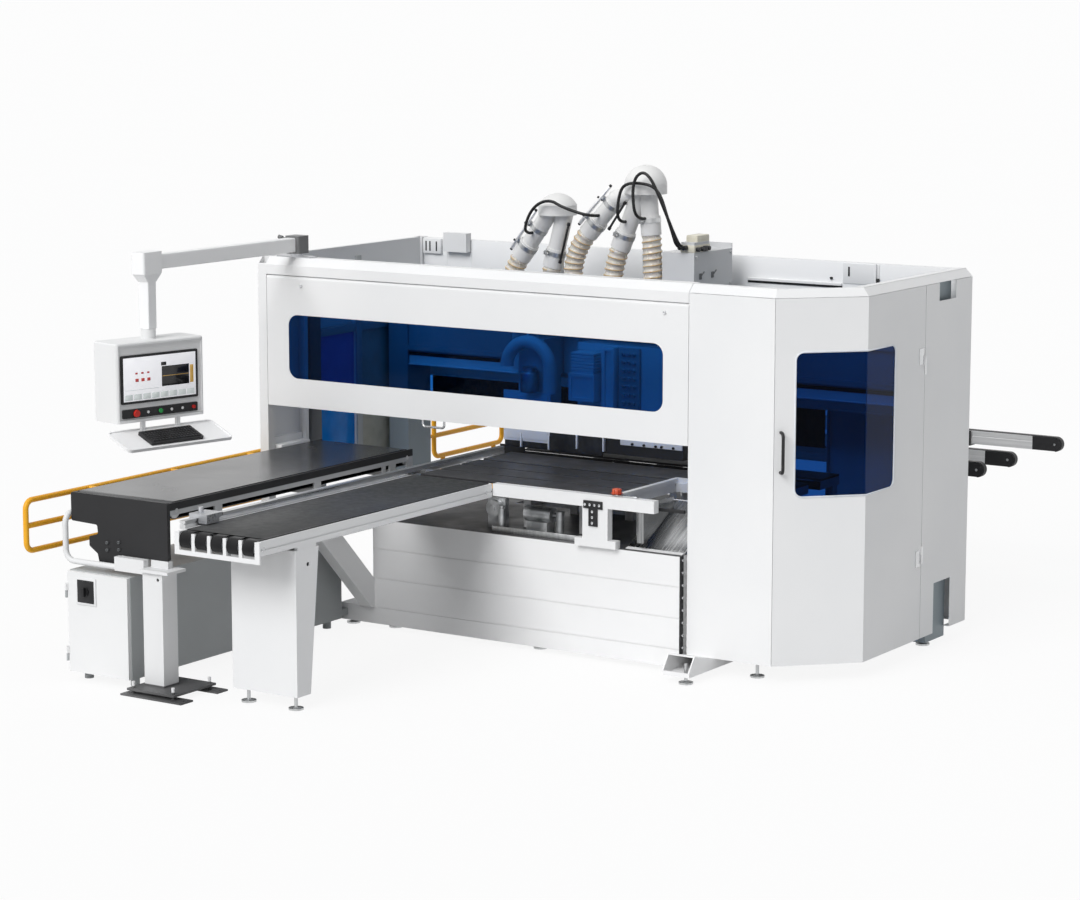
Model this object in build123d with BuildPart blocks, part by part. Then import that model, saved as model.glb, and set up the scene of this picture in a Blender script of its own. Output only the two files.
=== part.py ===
from build123d import *
import os
from math import cos, radians, sin, tan

os.makedirs("parts", exist_ok=True)

# Through-feed CNC drilling machine, millimetres. Positions are taken from a datum: x from the seam
# between lift hood and cabinet, y from the hood's front face (rearwards), z from the floor.

# Enclosure
hood_width = 2970.0
cabinet_width = 897.0
enclosure_depth = 1655.0
enclosure_height = 2147.0
opening_height = 1262.0
lip = 45.0
lip_flange = 80.0
header_height = 57.0
sheet = 3.0
pan_depth = 40.0
panel_gap = 3.0
post_size = 62.0
post_wall = 5.0
foot_lift = 40.0
terminal_span = (250.0, 425.0)

# Fits: running fits, free gaps between moving pieces, and joints between fixed pieces
running = 0.05
clearance = 0.4
joint = 0.2

# Lift hood
window_margin = 160.0
window_sill = 1433.0
window_height = 379.0
window_radius = 65.0
pane = 6.0
pane_overlap = 14.0
hood_pin_radius = 8.0
hood_pin_reach = 22.0
hood_boss = 40.0
hood_handle_x = -1712.0
hood_handle_width = 150.0
hood_handle_drop = 42.0
hood_handle_radius = 7.0
hood_handle_bend = 18.0

# Left end wall
wall_thickness = 35.0
wall_inset = 10.0
wall_bottom = 700.0
bay_depth = 30.0
bay_top = 1960.0
bay_sill = 1050.0
bay_spans = [(75.0, 365.0), (545.0, 898.0), (955.0, 1460.0)]

# Cabinet and its bent corner door
cabinet_bottom = 100.0
chamfer_run = 365.0
door_thickness = 28.0
door_end = 1062.0
door_window_sill = 1025.0
door_window_height = 785.0
door_window_radius = 45.0
door_window_margin = 115.0
door_window_reach = 330.0
hinge_radius = 6.5
hinge_pin_radius = 4.0
hinge_leaf = 2.5
hinge_leaf_width = 28.0
hinge_height = 104.0
hinge_levels = [580.0, 1656.0]
door_handle_z = 1272.0
door_handle_length = 217.0
door_handle_inset = 37.0
door_handle_stand = 46.0
door_handle_radius = 9.0
door_handle_bend = 24.0
notch_start = 1230.0
notch_width = 215.0
top_notch = 150.0
bottom_notch = 290.0

# Gantry inside the enclosure
column_width = 145.0
column_margin = 15.0
left_column_clear = 25.0
tie_height = 80.0
tie_inset = 40.0
beam_bottom = 1440.0
beam_height = 320.0
rail_width = 30.0
rail_height = 22.0
rail_inset = 50.0

# Bed
bed_top = 655.0
bed_bottom = 30.0
bed_front = -40.0
bed_panel = 15.0
bed_rear_gap = 55.0
bed_seam = 25.0
bed_right = 470.0
bed_wall = 20.0
groove_pitch = 175.0
groove_count = 3
groove_height = 7.0
groove_depth = 5.0
sill_length = 250.0
sill_height = 100.0
well_margin = 80.0
well_depth = 325.0
well_width = 280.0
foot_bracket_x = 5.0
foot_bracket_width = 170.0
foot_bracket_reach = 270.0
foot_bracket_lean = 60.0
foot_bracket_top = 150.0
foot_bracket_tail = 220.0
foot_bracket_plate = 8.0
foot_bracket_lift = 42.0
foot_bracket_lip = 24.0
foot_screw_radius = 10.0

# Infeed table
table_top = 950.0
infeed_width = 561.0
infeed_reach = 2190.0
infeed_rail = 23.0
infeed_rail_height = 78.0
infeed_belt_count = 5
infeed_belt_pitch = 104.0
infeed_belt_width = 72.0
belt_thickness = 4.0
infeed_roller_radius = 40.5
roller_shaft_radius = 20.0
journal_radius = 12.0
end_plate = 12.0
pedestal_width = 430.0
pedestal_front = -1885.0
pedestal_top_depth = 195.0
pedestal_foot_depth = 115.0
pedestal_lift = 75.0
pedestal_wall = 4.0
fence_gap = 12.0
fence_width = 38.0
fence_height = 45.0
fence_rise = 35.0
fence_end = 900.0
pusher_length = 130.0
pusher_start = -1980.0

# Work table
table_front = -20.0
strip_spans = [(-20.0, 172.0), (187.0, 379.0), (394.0, 586.0), (625.0, 925.0), (1075.0, 1300.0)]
strip_thickness = 12.0
strip_right = 250.0
strip_left_gap = 22.0
short_strips = 3
frame_beam = 50.0
front_beam_y = -75.0
front_beam_height = 70.0
front_beam_right = -170.0
edge_frame_x = -440.0
edge_frame_width = 30.0
edge_frame_rise = 12.0
edge_frame_right = 100.0
prop_x = -551.0
prop_width = 165.0
prop_foot = 268.0
prop_foot_height = 44.0
chute_sheet = 4.0

# Return conveyor
conveyor_gap = 178.0
conveyor_offset = 213.0
conveyor_rail = 12.0
conveyor_belt_width = 650.0
conveyor_belt_gap = 5.0
conveyor_top = 1030.0
conveyor_near = -1930.0
conveyor_far = 300.0
conveyor_cover = 25.0
conveyor_rail_height = 66.0
conveyor_left_height = 126.0
drum_radius = 43.5
drum_inset = 55.0
cover_bottom = 716.0
cross_tube = 36.0
cross_tube_z = 888.0
post_width = 135.0
post_depth = 120.0
post_top = 660.0
anchor_radius = 7.0
support_tube_radius = 16.0

# Electrical cabinet
ecab_width = 430.0
ecab_inset = 15.0
ecab_front = -2000.0
ecab_length = 1890.0
ecab_top = 612.0
ecab_bottom = 50.0
ecab_door = 25.0
switch_inset = 139.0
switch_z = 508.0
switch_plate = 126.0
switch_knob_radius = 24.0
gland_radius = 10.0
gland_length = 25.0

# Guard rails
guard_outset = 30.0
guard_radius = 16.0
guard_bend = 50.0
guard_low = 685.0
guard_high = 965.0
guard_front_span = (-2010.0, 140.0)
guard_rear_span = (1840.0, 2630.0)
guard_stays = [-1500.0, -800.0, -100.0]

# Swing arm and control pendant
arm_inset = 230.0
arm_pivot_y = 85.0
arm_reach = 1351.0
arm_plate = (250.0, 74.0, 8.0)
arm_boss_radius = 36.0
arm_boss_height = 15.0
arm_pin_radius = 25.0
arm_pin_height = 90.0
arm_block = 104.0
arm_tube_width = 62.0
arm_tube_height = 84.0
elbow_width = 95.0
elbow_length = 160.0
elbow_height = 122.0
drop_tube = 70.0
pendant_yaw = 77.0
pendant_width = 600.0
pendant_depth = 220.0
pendant_bottom = 1356.0
pendant_top = 1800.0
pendant_corner = 22.0
pendant_rim = 16.0
pendant_recess = 12.0
collar_height = 56.0
swivel_pin_radius = 20.0
swivel_pin_height = 60.0
screen_width = 525.0
screen_height = 270.0
screen_z = 1595.0
strip_panel_width = 511.0
strip_panel_height = 50.0
strip_panel_z = 1406.0
button_stroke = 4.0
button_spots = {"emergency_stop": (-173.0, 17.0), "start_button": (-7.0, 12.0),
                "stop_button": (221.0, 10.0)}
tray_width = 720.0
tray_depth = 225.0
tray_thickness = 12.0
tray_tilt = 20.0
tray_z = 1262.0
tray_out = 185.0
tray_corner = 30.0
keyboard_size = (355.0, 140.0, 18.0)

# Drilling head with its dust pipes
head_left = -1930.0
head_right = -540.0
head_deck = 1780.0
head_plate = 46.0
ram_tops = 1650.0
brush_bottom = 1005.0
ram_left_span = (-1720.0, -1540.0)
ram_right_span = (-1300.0, -700.0)
skirt_span = (-1480.0, -560.0)
ram_rails = [-1690.0, -1570.0, -1240.0, -760.0]
spindle_radius = 15.0
spindle_nose_radius = 22.0
bit_radius = 5.0
tower_width = 214.0
tower_depth = 445.0
tower_top = 2206.0
mast_shift = -75.0
pipe_radius = 52.0
pipe_wall = 4.0
sleeve_radius = 60.0
sleeve_length = 110.0
hub_skirt = 60.0
hose_bore = 47.0
hose_valley = 52.0
hose_crest = 58.0
hose_pitch = 36.0
cable_radius = 9.0
hose_bend = 110.0
hubs = [
    {"x": -1495.0, "z": 2390.0, "radius": 115.0, "dome": 69.0,
     "legs": [{"points": [(-1530.0, 2430.0), (-1757.0, 2124.0)], "run": 165.0},
              {"points": [(-1437.0, 2425.0), (-1530.0, 2080.0)], "run": 140.0}]},
    {"x": -885.0, "z": 2540.0, "radius": 125.0, "dome": 108.0,
     "legs": [{"points": [(-885.0, 2570.0), (-1085.0, 2500.0), (-1280.0, 2290.0)], "run": 155.0},
              {"points": [(-909.0, 2570.0), (-1058.0, 2212.0)], "run": 150.0},
              {"points": [(-868.0, 2570.0), (-845.0, 2300.0)], "run": 160.0}]},
]
cable_routes = [
    [(-990, 947.5, 2375), (-990, 850, 2375), (-978, 850, 2540), (-930, 850, 2612), (-760, 850, 2608),
     (-702, 862, 2550), (-675, 888, 2430), (-655, 918, 2330), (-640, 945, 2238), (-640, 1009.7, 2238)],
    [(-853, 939.5, 2400), (-853, 830, 2400), (-868, 822, 2560), (-850, 822, 2645), (-795, 822, 2682),
     (-740, 822, 2640), (-695, 835, 2540), (-660, 870, 2420), (-632, 905, 2315), (-612, 945, 2238),
     (-612, 1009.7, 2238)],
    [(-1641, 947.5, 2280), (-1641, 850, 2280), (-1600, 846, 2400), (-1530, 846, 2470), (-1440, 846, 2488),
     (-1370, 850, 2450), (-1175, 850, 2403), (-1175, 947.5, 2403)],
]

# Lower drilling unit
lower_x = -1100.0
lower_width = 300.0
lower_base = 420.0
lower_body_top = 780.0
lower_nose = 880.0

# Outfeed belt arms behind the machine
outfeed_rows = [2160.0, 2600.0, 3300.0]
outfeed_arm_width = 60.0
outfeed_collar = 12.0
outfeed_arm_height = 84.0
outfeed_left = -1850.0
outfeed_right = 770.0
outfeed_cap = 190.0
outfeed_beam = 60.0
outfeed_beam_height = 78.0
outfeed_beams = [-1650.0, 70.0]
outfeed_start = 1700.0
cheek = 8.0
axle_radius = 8.0
outfeed_foot_lift = 20.0
outfeed_rung_z = (300.0, 360.0)
outfeed_ties = [-1650.0, -300.0]

# Levelling feet
pad_radius = 40.0
pad_height = 10.0
pad_cone = 8.0

# Origin at the middle of the footprint
reach_left = hood_width + guard_outset + guard_radius
reach_right = cabinet_width + 2 * hinge_radius
reach_rear = outfeed_rows[-1] + outfeed_arm_width / 2 + outfeed_collar
X0 = (reach_left - reach_right) / 2
Y0 = (infeed_reach - reach_rear) / 2

# Places that follow from the sizes above
hood_left = -hood_width + post_size + panel_gap
lip_z = enclosure_height - lip
header_z = lip_z - header_height
hood_top = header_z - panel_gap
pivot_y = pan_depth / 2
pivot_z = hood_top - pan_depth / 2
chamfer_x = cabinet_width - chamfer_run
hinge_x = cabinet_width + hinge_radius
column_front = notch_start - column_margin
column_depth = notch_width + 2 * column_margin
right_column = cabinet_width - pan_depth - joint - column_width
wall_left = -hood_width + wall_inset
left_column = wall_left + wall_thickness + left_column_clear
beam_front = column_front + column_margin
conveyor_left = wall_left + wall_thickness + conveyor_gap
belt_left = conveyor_left + conveyor_rail + conveyor_belt_gap
belt_right = belt_left + conveyor_belt_width
conveyor_right = belt_right + conveyor_belt_gap + conveyor_rail
fence_left = conveyor_right + conveyor_offset
fence_right = fence_left + fence_width
infeed_left = fence_right + fence_gap
infeed_right = infeed_left + infeed_width
bed_left = conveyor_right - 37.0
bed_rear = enclosure_depth - bed_rear_gap
sill_left = bed_left - sill_length
ecab_left = conveyor_left + ecab_inset + conveyor_rail
ecab_right = ecab_left + ecab_width
switch_x = ecab_left + switch_inset
ecab_rear = ecab_front + ecab_length
guard_x = -hood_width - guard_outset
slot_front = strip_spans[-2][1]
slot_rear = strip_spans[-1][0]
drill_y = (slot_front + slot_rear) / 2
strip_left = infeed_left + strip_left_gap
strip_bottom = table_top - strip_thickness
belt_radius = infeed_roller_radius + 0.5 + belt_thickness
roller_z = table_top - belt_radius
near_roller_y = -infeed_reach + belt_radius
far_roller_y = front_beam_y - belt_radius - 10.0
conveyor_belt_radius = drum_radius + 0.5 + belt_thickness
drum_z = conveyor_top - conveyor_belt_radius
near_drum_y = conveyor_near + conveyor_cover + drum_inset
far_drum_y = conveyor_far - drum_inset
arm_x = -hood_width + arm_inset
elbow_y = arm_pivot_y - arm_reach
arm_bottom = enclosure_height + arm_plate[2] + arm_boss_height
arm_axis_z = arm_bottom + arm_block / 2


def at(point):
    """A datum point in the part's own frame."""
    return Vector(X0 + point[0], Y0 + point[1], point[2])


def level(z):
    """Horizontal sketch plane at height z, drawn from the datum."""
    return Plane(origin=(X0, Y0, z))


def facing_front(y):
    """Upright sketch plane at depth y: sketch x is x, sketch y is z, normal towards the front."""
    return Plane(origin=(X0, Y0 + y, 0), x_dir=(1, 0, 0), z_dir=(0, -1, 0))


def facing_right(x):
    """Upright sketch plane at x: sketch x is y, sketch y is z, normal towards the right."""
    return Plane(origin=(X0 + x, Y0, 0), x_dir=(0, 1, 0), z_dir=(1, 0, 0))


def middle(span):
    return (span[0] + span[1]) / 2


def size(span):
    return span[1] - span[0]


def block(x, y, z, mode=Mode.ADD):
    """Box between pairs of x, y and z values."""
    with Locations(at((middle(x), middle(y), middle(z)))):
        Box(size(x), size(y), size(z), mode=mode)


def panel(a, b, mode=Mode.ADD):
    """Rectangle in a sketch between pairs of values."""
    with Locations((middle(a), middle(b))):
        Rectangle(size(a), size(b), mode=mode)


def rounded(a, b, radius, mode=Mode.ADD):
    """Rectangle with rounded corners in a sketch between pairs of values."""
    with Locations((middle(a), middle(b))):
        RectangleRounded(size(a), size(b), radius, mode=mode)


def rod(start, end, radius, mode=Mode.ADD):
    """Round bar between two datum points."""
    along = at(end) - at(start)
    with BuildSketch(Plane(origin=at(start), z_dir=along)) as section:
        Circle(radius)
    extrude(section.sketch, amount=along.length, mode=mode)


def bent_rod(points, radius, bend, mode=Mode.ADD):
    """Round bar along straight runs joined by tangent arcs."""
    with BuildLine() as path:
        FilletPolyline(*[at(p) for p in points], radius=bend)
    with BuildSketch(Plane(origin=path.line @ 0, z_dir=path.line % 0)) as section:
        Circle(radius)
    sweep(section.sketch, path=path.line, mode=mode)


def pan(x, z, front, depth):
    """Folded sheet panel: a skin at the front with its edges turned back."""
    block(x, (front, front + depth), z)
    block((x[0] + sheet, x[1] - sheet), (front + sheet, front + depth + sheet),
          (z[0] + sheet, z[1] - sheet), Mode.SUBTRACT)


def belt_loop(near_y, far_y, centre_z, radius):
    """Flat belt seen from its side, round two rollers; drawn on a plane facing right."""
    panel((near_y, far_y), (centre_z - radius, centre_z + radius))
    with Locations((near_y, centre_z), (far_y, centre_z)):
        Circle(radius)
    inner = radius - belt_thickness
    panel((near_y, far_y), (centre_z - inner, centre_z + inner), Mode.SUBTRACT)
    with Locations((near_y, centre_z), (far_y, centre_z)):
        Circle(inner, mode=Mode.SUBTRACT)


def levelling_foot(x, y, top):
    """Round pad with a cone and a screw that reaches up to the given height."""
    with Locations(at((x, y, pad_height / 2))):
        Cylinder(pad_radius, pad_height)
    with Locations(at((x, y, pad_height + pad_cone / 2))):
        Cone(pad_radius * 0.7, foot_screw_radius, pad_cone)
    rod((x, y, pad_height), (x, y, top), foot_screw_radius)


# Welded bed with a well for the lower drilling unit and a foot bracket at the front right corner
bed_inner = bed_front + bed_panel
bracket_foot = (foot_bracket_x + 0.75 * foot_bracket_width, -foot_bracket_reach + 40.0)
bracket_inside = (foot_bracket_x + foot_bracket_plate,
                  foot_bracket_x + foot_bracket_width - foot_bracket_plate)
bracket_brow = (-foot_bracket_reach + foot_bracket_lean, foot_bracket_top)
with BuildPart() as bed_frame:
    block((bed_left, -bed_seam), (bed_inner, bed_rear), (bed_bottom, bed_top))
    block((-bed_seam, bed_right), (pan_depth + 5.0, bed_rear), (cabinet_bottom, bed_top))
    block((sill_left, bed_left), (bed_front, bed_rear), (bed_bottom, bed_bottom + sill_height))
    for front in (0.0, enclosure_depth - post_size):
        block((-hood_width + post_size + joint, sill_left + sill_height), (front, front + post_size),
              (foot_lift, sill_height))
    block((strip_left + well_margin, -well_margin), (drill_y - well_width / 2, drill_y + well_width / 2),
          (bed_top - well_depth, bed_top), Mode.SUBTRACT)
    for span in ((bed_inner + bed_wall, drill_y - well_width / 2 - bed_wall),
                 (drill_y + well_width / 2 + bed_wall, bed_rear - bed_wall)):
        block((bed_left + bed_wall, -bed_seam - bed_wall), span,
              (bed_bottom + bed_wall, bed_top - bed_wall), Mode.SUBTRACT)
    block((bed_left + bed_wall, -bed_seam - bed_wall), (drill_y - well_width / 2, drill_y + well_width / 2),
          (bed_bottom + bed_wall, bed_top - well_depth - bed_wall), Mode.SUBTRACT)
    block((-bed_seam + bed_wall, bed_right - bed_wall), (pan_depth + 5.0 + bed_wall, bed_rear - bed_wall),
          (cabinet_bottom + bed_wall, bed_top - bed_wall), Mode.SUBTRACT)
    for y in (drill_y - 80.0, drill_y + 80.0):
        block((strip_left + well_margin, -well_margin), (y - rail_width / 2, y + rail_width / 2),
              (bed_top - well_depth, lower_base - clearance))
    for wall in (foot_bracket_x, bracket_inside[1]):
        with BuildSketch(facing_right(wall)):
            with BuildLine():
                Polyline((-foot_bracket_reach, foot_bracket_lift),
                         (-foot_bracket_reach, foot_bracket_lift + foot_bracket_lip), bracket_brow,
                         (0.0, cabinet_bottom - joint), (pan_depth + 10.0, cabinet_bottom - joint),
                         (pan_depth + 10.0, cabinet_bottom + foot_bracket_plate),
                         (foot_bracket_tail, cabinet_bottom + foot_bracket_plate),
                         (foot_bracket_tail, foot_bracket_lift), close=True)
            make_face()
        extrude(amount=foot_bracket_plate)
    with BuildSketch(facing_right(bracket_inside[0])):
        with BuildLine():
            Polyline(bracket_brow, (0.0, cabinet_bottom - joint),
                     (pan_depth + 10.0, cabinet_bottom - joint),
                     (pan_depth + 10.0, cabinet_bottom - joint - foot_bracket_plate),
                     (0.0, cabinet_bottom - joint - foot_bracket_plate),
                     (bracket_brow[0], foot_bracket_top - foot_bracket_plate), close=True)
        make_face()
    extrude(amount=size(bracket_inside))
    block(bracket_inside, (-foot_bracket_reach, foot_bracket_tail),
          (foot_bracket_lift, foot_bracket_lift + foot_bracket_plate))
    block(bracket_inside, (-foot_bracket_reach, -foot_bracket_reach + foot_bracket_plate),
          (foot_bracket_lift, foot_bracket_lift + foot_bracket_lip))
    block(bracket_inside, (foot_bracket_tail - foot_bracket_plate, foot_bracket_tail),
          (foot_bracket_lift, cabinet_bottom + foot_bracket_plate))
    rod((*bracket_foot, foot_bracket_lift), (*bracket_foot, foot_bracket_lift + foot_bracket_plate),
        foot_screw_radius + clearance, Mode.SUBTRACT)
bed_frame.part.label = "bed_frame"
export_step(bed_frame.part, "parts/bed_frame.step")

# Front and rear cladding of the bed with long pressed grooves
with BuildPart() as bed_panels:
    block((bed_left, -bed_seam), (bed_front, bed_inner), (bed_bottom, bed_top))
    block((bed_left, bed_right), (bed_rear, bed_rear + bed_panel), (bed_bottom, bed_top))
    for row in range(groove_count):
        groove = bed_top - groove_pitch * (row + 1)
        span = (groove - groove_height / 2, groove + groove_height / 2)
        block((bed_left, -bed_seam), (bed_front, bed_front + groove_depth), span, Mode.SUBTRACT)
        block((bed_left, bed_right), (bed_rear + bed_panel - groove_depth, bed_rear + bed_panel), span,
              Mode.SUBTRACT)
bed_panels.part.label = "bed_panels"
export_step(bed_panels.part, "parts/bed_panels.step")

# Front left and rear left posts of the enclosure; the front one carries the hood's left pivot pin
with BuildPart() as corner_posts:
    for front in (0.0, enclosure_depth - post_size):
        with BuildSketch(level(foot_lift)):
            panel((-hood_width, -hood_width + post_size), (front, front + post_size))
            panel((-hood_width + post_wall, -hood_width + post_size - post_wall),
                  (front + post_wall, front + post_size - post_wall), Mode.SUBTRACT)
        extrude(amount=enclosure_height - foot_lift)
        block((-hood_width, -hood_width + post_size), (front, front + post_size),
              (foot_lift, foot_lift + post_wall))
    with BuildSketch(facing_right(-hood_width)):
        with BuildLine():
            Polyline((0.0, lip_z), (lip, enclosure_height), (0.0, enclosure_height), close=True)
        make_face()
    extrude(amount=post_size, mode=Mode.SUBTRACT)
    rod((-hood_width + post_size - post_wall, pivot_y, pivot_z),
        (hood_left + hood_pin_reach, pivot_y, pivot_z), hood_pin_radius)
corner_posts.part.label = "corner_posts"
export_step(corner_posts.part, "parts/corner_posts.step")

# Folded header above the hood, and the bevelled lip round the top of the cabinet
with BuildPart() as top_lip:
    with BuildSketch(facing_right(-hood_width + post_size)):
        with BuildLine():
            Polyline((0.0, header_z), (0.0, lip_z), (lip, enclosure_height),
                     (lip + lip_flange, enclosure_height), (lip + lip_flange, enclosure_height - sheet),
                     (lip + sheet / 2, enclosure_height - sheet), (sheet, lip_z - sheet / 2),
                     (sheet, header_z + sheet), (pan_depth, header_z + sheet), (pan_depth, header_z),
                     close=True)
        make_face()
    extrude(amount=hood_width - post_size - panel_gap)
    outline = [(-lip_flange, 0.0), (chamfer_x, 0.0), (cabinet_width, chamfer_run),
               (cabinet_width, enclosure_depth + lip_flange), (-lip_flange, enclosure_depth + lip_flange)]
    with BuildSketch(level(lip_z)) as lip_outline:
        with BuildLine():
            Polyline(*outline, close=True)
        make_face()
    lip_outer = extrude(lip_outline.sketch, amount=lip, taper=45, mode=Mode.PRIVATE)
    with BuildSketch(level(lip_z)) as lip_inset:
        add(lip_outline.sketch_local)
        offset(amount=-sheet, kind=Kind.INTERSECTION, mode=Mode.REPLACE)
    lip_inner = extrude(lip_inset.sketch, amount=lip, taper=45, mode=Mode.PRIVATE)
    with BuildSketch(level(enclosure_height - sheet)) as lip_ring:
        add(lip_outline.sketch_local)
        offset(amount=-lip + sheet, kind=Kind.INTERSECTION, mode=Mode.REPLACE)
        panel((-2 * lip_flange, cabinet_width - lip - lip_flange / 2),
              (lip + lip_flange / 2, enclosure_depth + 2 * lip_flange), Mode.SUBTRACT)
    lip_flat = extrude(lip_ring.sketch, amount=sheet, mode=Mode.PRIVATE)
    keep = Pos(at((cabinet_width / 2, enclosure_depth / 2, enclosure_height - lip / 2))) * Box(
        cabinet_width, enclosure_depth, lip, mode=Mode.PRIVATE)
    add(((lip_outer - lip_inner) + lip_flat) & keep)
top_lip.part.label = "top_lip"
export_step(top_lip.part, "parts/top_lip.step")

# Left end wall with three recessed bays on its inner face
with BuildPart() as left_wall:
    block((wall_left, wall_left + wall_thickness), (post_size, enclosure_depth - post_size),
          (wall_bottom, enclosure_height))
    for span in bay_spans:
        block((wall_left + wall_thickness - bay_depth, wall_left + wall_thickness), span,
              (bay_sill if span == bay_spans[0] else wall_bottom + lip, bay_top), Mode.SUBTRACT)
left_wall.part.label = "left_wall"
export_step(left_wall.part, "parts/left_wall.step")

# Rear wall above the outfeed opening, the cabinet's rear panel and a small terminal box
rear_right = cabinet_width - lip - 2 * panel_gap
rear_top = enclosure_height - sheet - joint
with BuildPart() as rear_wall:
    block((-hood_width + post_size, rear_right), (enclosure_depth - pan_depth, enclosure_depth),
          (opening_height, rear_top))
    block((-hood_width + post_size + sheet, rear_right - sheet),
          (enclosure_depth - pan_depth - sheet, enclosure_depth - sheet),
          (opening_height + sheet, rear_top - sheet), Mode.SUBTRACT)
    block((0.0, rear_right), (enclosure_depth - pan_depth, enclosure_depth),
          (cabinet_bottom, opening_height - panel_gap))
    block((sheet, rear_right - sheet), (enclosure_depth - pan_depth - sheet, enclosure_depth - sheet),
          (cabinet_bottom + sheet, opening_height - panel_gap - sheet), Mode.SUBTRACT)
    block((-hood_width + terminal_span[0], -hood_width + terminal_span[1]),
          (enclosure_depth - pan_depth - 55.0, enclosure_depth - pan_depth),
          (enclosure_height - lip_flange, enclosure_height + pan_depth))
rear_wall.part.label = "rear_wall"
export_step(rear_wall.part, "parts/rear_wall.step")

# Fixed front panel of the cabinet with the hood's right pivot pin
with BuildPart() as cabinet_front_panel:
    pan((0.0, chamfer_x - panel_gap), (cabinet_bottom, lip_z - panel_gap), 0.0, pan_depth)
    rod((-panel_gap - hood_pin_reach, pivot_y, pivot_z), (sheet, pivot_y, pivot_z), hood_pin_radius)
cabinet_front_panel.part.label = "cabinet_front_panel"
export_step(cabinet_front_panel.part, "parts/cabinet_front_panel.step")

# Fixed end panel behind the door, notched top and bottom in front of the column
end_span = (door_end + panel_gap, enclosure_depth)
notch = (notch_start, notch_start + notch_width)
with BuildPart() as cabinet_end_panel:
    block((cabinet_width - pan_depth, cabinet_width), end_span, (cabinet_bottom, lip_z - panel_gap))
    block((cabinet_width - pan_depth - sheet, cabinet_width - sheet),
          (end_span[0] + sheet, end_span[1] - sheet), (cabinet_bottom + sheet, lip_z - panel_gap - sheet),
          Mode.SUBTRACT)
    block((cabinet_width - pan_depth, cabinet_width), notch, (lip_z - top_notch + lip, lip_z),
          Mode.SUBTRACT)
    block((cabinet_width - pan_depth, cabinet_width), notch,
          (cabinet_bottom, cabinet_bottom + bottom_notch), Mode.SUBTRACT)
    for span in ((end_span[0], notch[0]), (notch[1], end_span[1])):
        block((cabinet_width - pan_depth, cabinet_width - sheet), span,
              (cabinet_bottom, cabinet_bottom + sheet))
cabinet_end_panel.part.label = "cabinet_end_panel"
export_step(cabinet_end_panel.part, "parts/cabinet_end_panel.step")

# Fixed halves of the door hinges, each with its pin
with BuildPart() as door_hinges:
    for z in hinge_levels:
        rod((hinge_x, door_end, z - hinge_height / 2), (hinge_x, door_end, z - clearance), hinge_radius)
        rod((hinge_x, door_end, z - hinge_height / 2), (hinge_x, door_end, z + hinge_height / 2 - pane),
            hinge_pin_radius)
        block((cabinet_width, cabinet_width + hinge_leaf),
              (door_end + panel_gap, door_end + hinge_leaf_width),
              (z - hinge_height / 2, z - clearance))
door_hinges.part.label = "door_hinges"
export_step(door_hinges.part, "parts/door_hinges.step")

# Bent corner door: a folded skin from the front corner round to the hinge line
door_bottom = cabinet_bottom
door_top = lip_z - panel_gap


def door_plan(outer, inner, start_trim, end_trim):
    """Plan of the door between two depths behind its outer face, shortened at both ends."""
    half = cos(radians(45))
    points = []
    for depth in (outer, inner):
        points.append([(chamfer_x + (start_trim - depth) * half, (start_trim + depth) * half),
                       (cabinet_width - depth, chamfer_run + depth * tan(radians(22.5))),
                       (cabinet_width - depth, door_end - panel_gap - end_trim)])
    return points[0] + points[1][::-1]


window_span = (door_window_sill, door_window_sill + door_window_height)
window_end = door_end - panel_gap - chamfer_run - door_window_reach
chamfer_face = Plane(origin=at((chamfer_x, 0.0, 0.0)), x_dir=(1, 1, 0), z_dir=(1, -1, 0))
chamfer_length = chamfer_run / cos(radians(45))
with BuildPart() as door_shell:
    with BuildSketch(level(door_bottom)):
        with BuildLine():
            Polyline(*door_plan(0.0, door_thickness, 0.0, 0.0), close=True)
        make_face()
    extrude(amount=door_top - door_bottom)
    with BuildSketch(level(door_bottom + sheet)):
        with BuildLine():
            Polyline(*door_plan(sheet, door_thickness + sheet, sheet, sheet), close=True)
        make_face()
    extrude(amount=door_top - door_bottom - 2 * sheet, mode=Mode.SUBTRACT)
    block((chamfer_x - 2 * door_thickness, chamfer_x), (-1.0, 2 * door_thickness), (door_bottom, door_top),
          Mode.SUBTRACT)
    with BuildSketch(chamfer_face.offset(1.0)):
        rounded((door_window_margin, chamfer_length + door_window_reach), window_span, door_window_radius)
    extrude(amount=-sheet - 2.0, mode=Mode.SUBTRACT)
    with BuildSketch(facing_right(cabinet_width + 1.0)):
        rounded((chamfer_run - door_window_reach, chamfer_run + door_window_reach), window_span,
                door_window_radius)
    extrude(amount=-sheet - 2.0, mode=Mode.SUBTRACT)
    for z in hinge_levels:
        rod((hinge_x, door_end, z + clearance), (hinge_x, door_end, z + hinge_height / 2), hinge_radius)
        block((cabinet_width, cabinet_width + hinge_leaf),
              (door_end - hinge_leaf_width, door_end - panel_gap),
              (z + clearance, z + hinge_height / 2))
        rod((hinge_x, door_end, z), (hinge_x, door_end, z + hinge_height), hinge_pin_radius + running,
            Mode.SUBTRACT)
door_shell.part.label = "door_shell"
export_step(door_shell.part, "parts/door_shell.step")

# Tinted pane behind the door's wrap-round opening
with BuildPart() as door_window:
    with BuildSketch(level(window_span[0] - pane_overlap)):
        with BuildLine():
            Polyline(*door_plan(sheet, sheet + pane, door_window_margin - pane_overlap,
                                window_end - pane_overlap), close=True)
        make_face()
    extrude(amount=size(window_span) + 2 * pane_overlap)
door_window.part.label = "door_window"
export_step(door_window.part, "parts/door_window.step")

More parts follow.
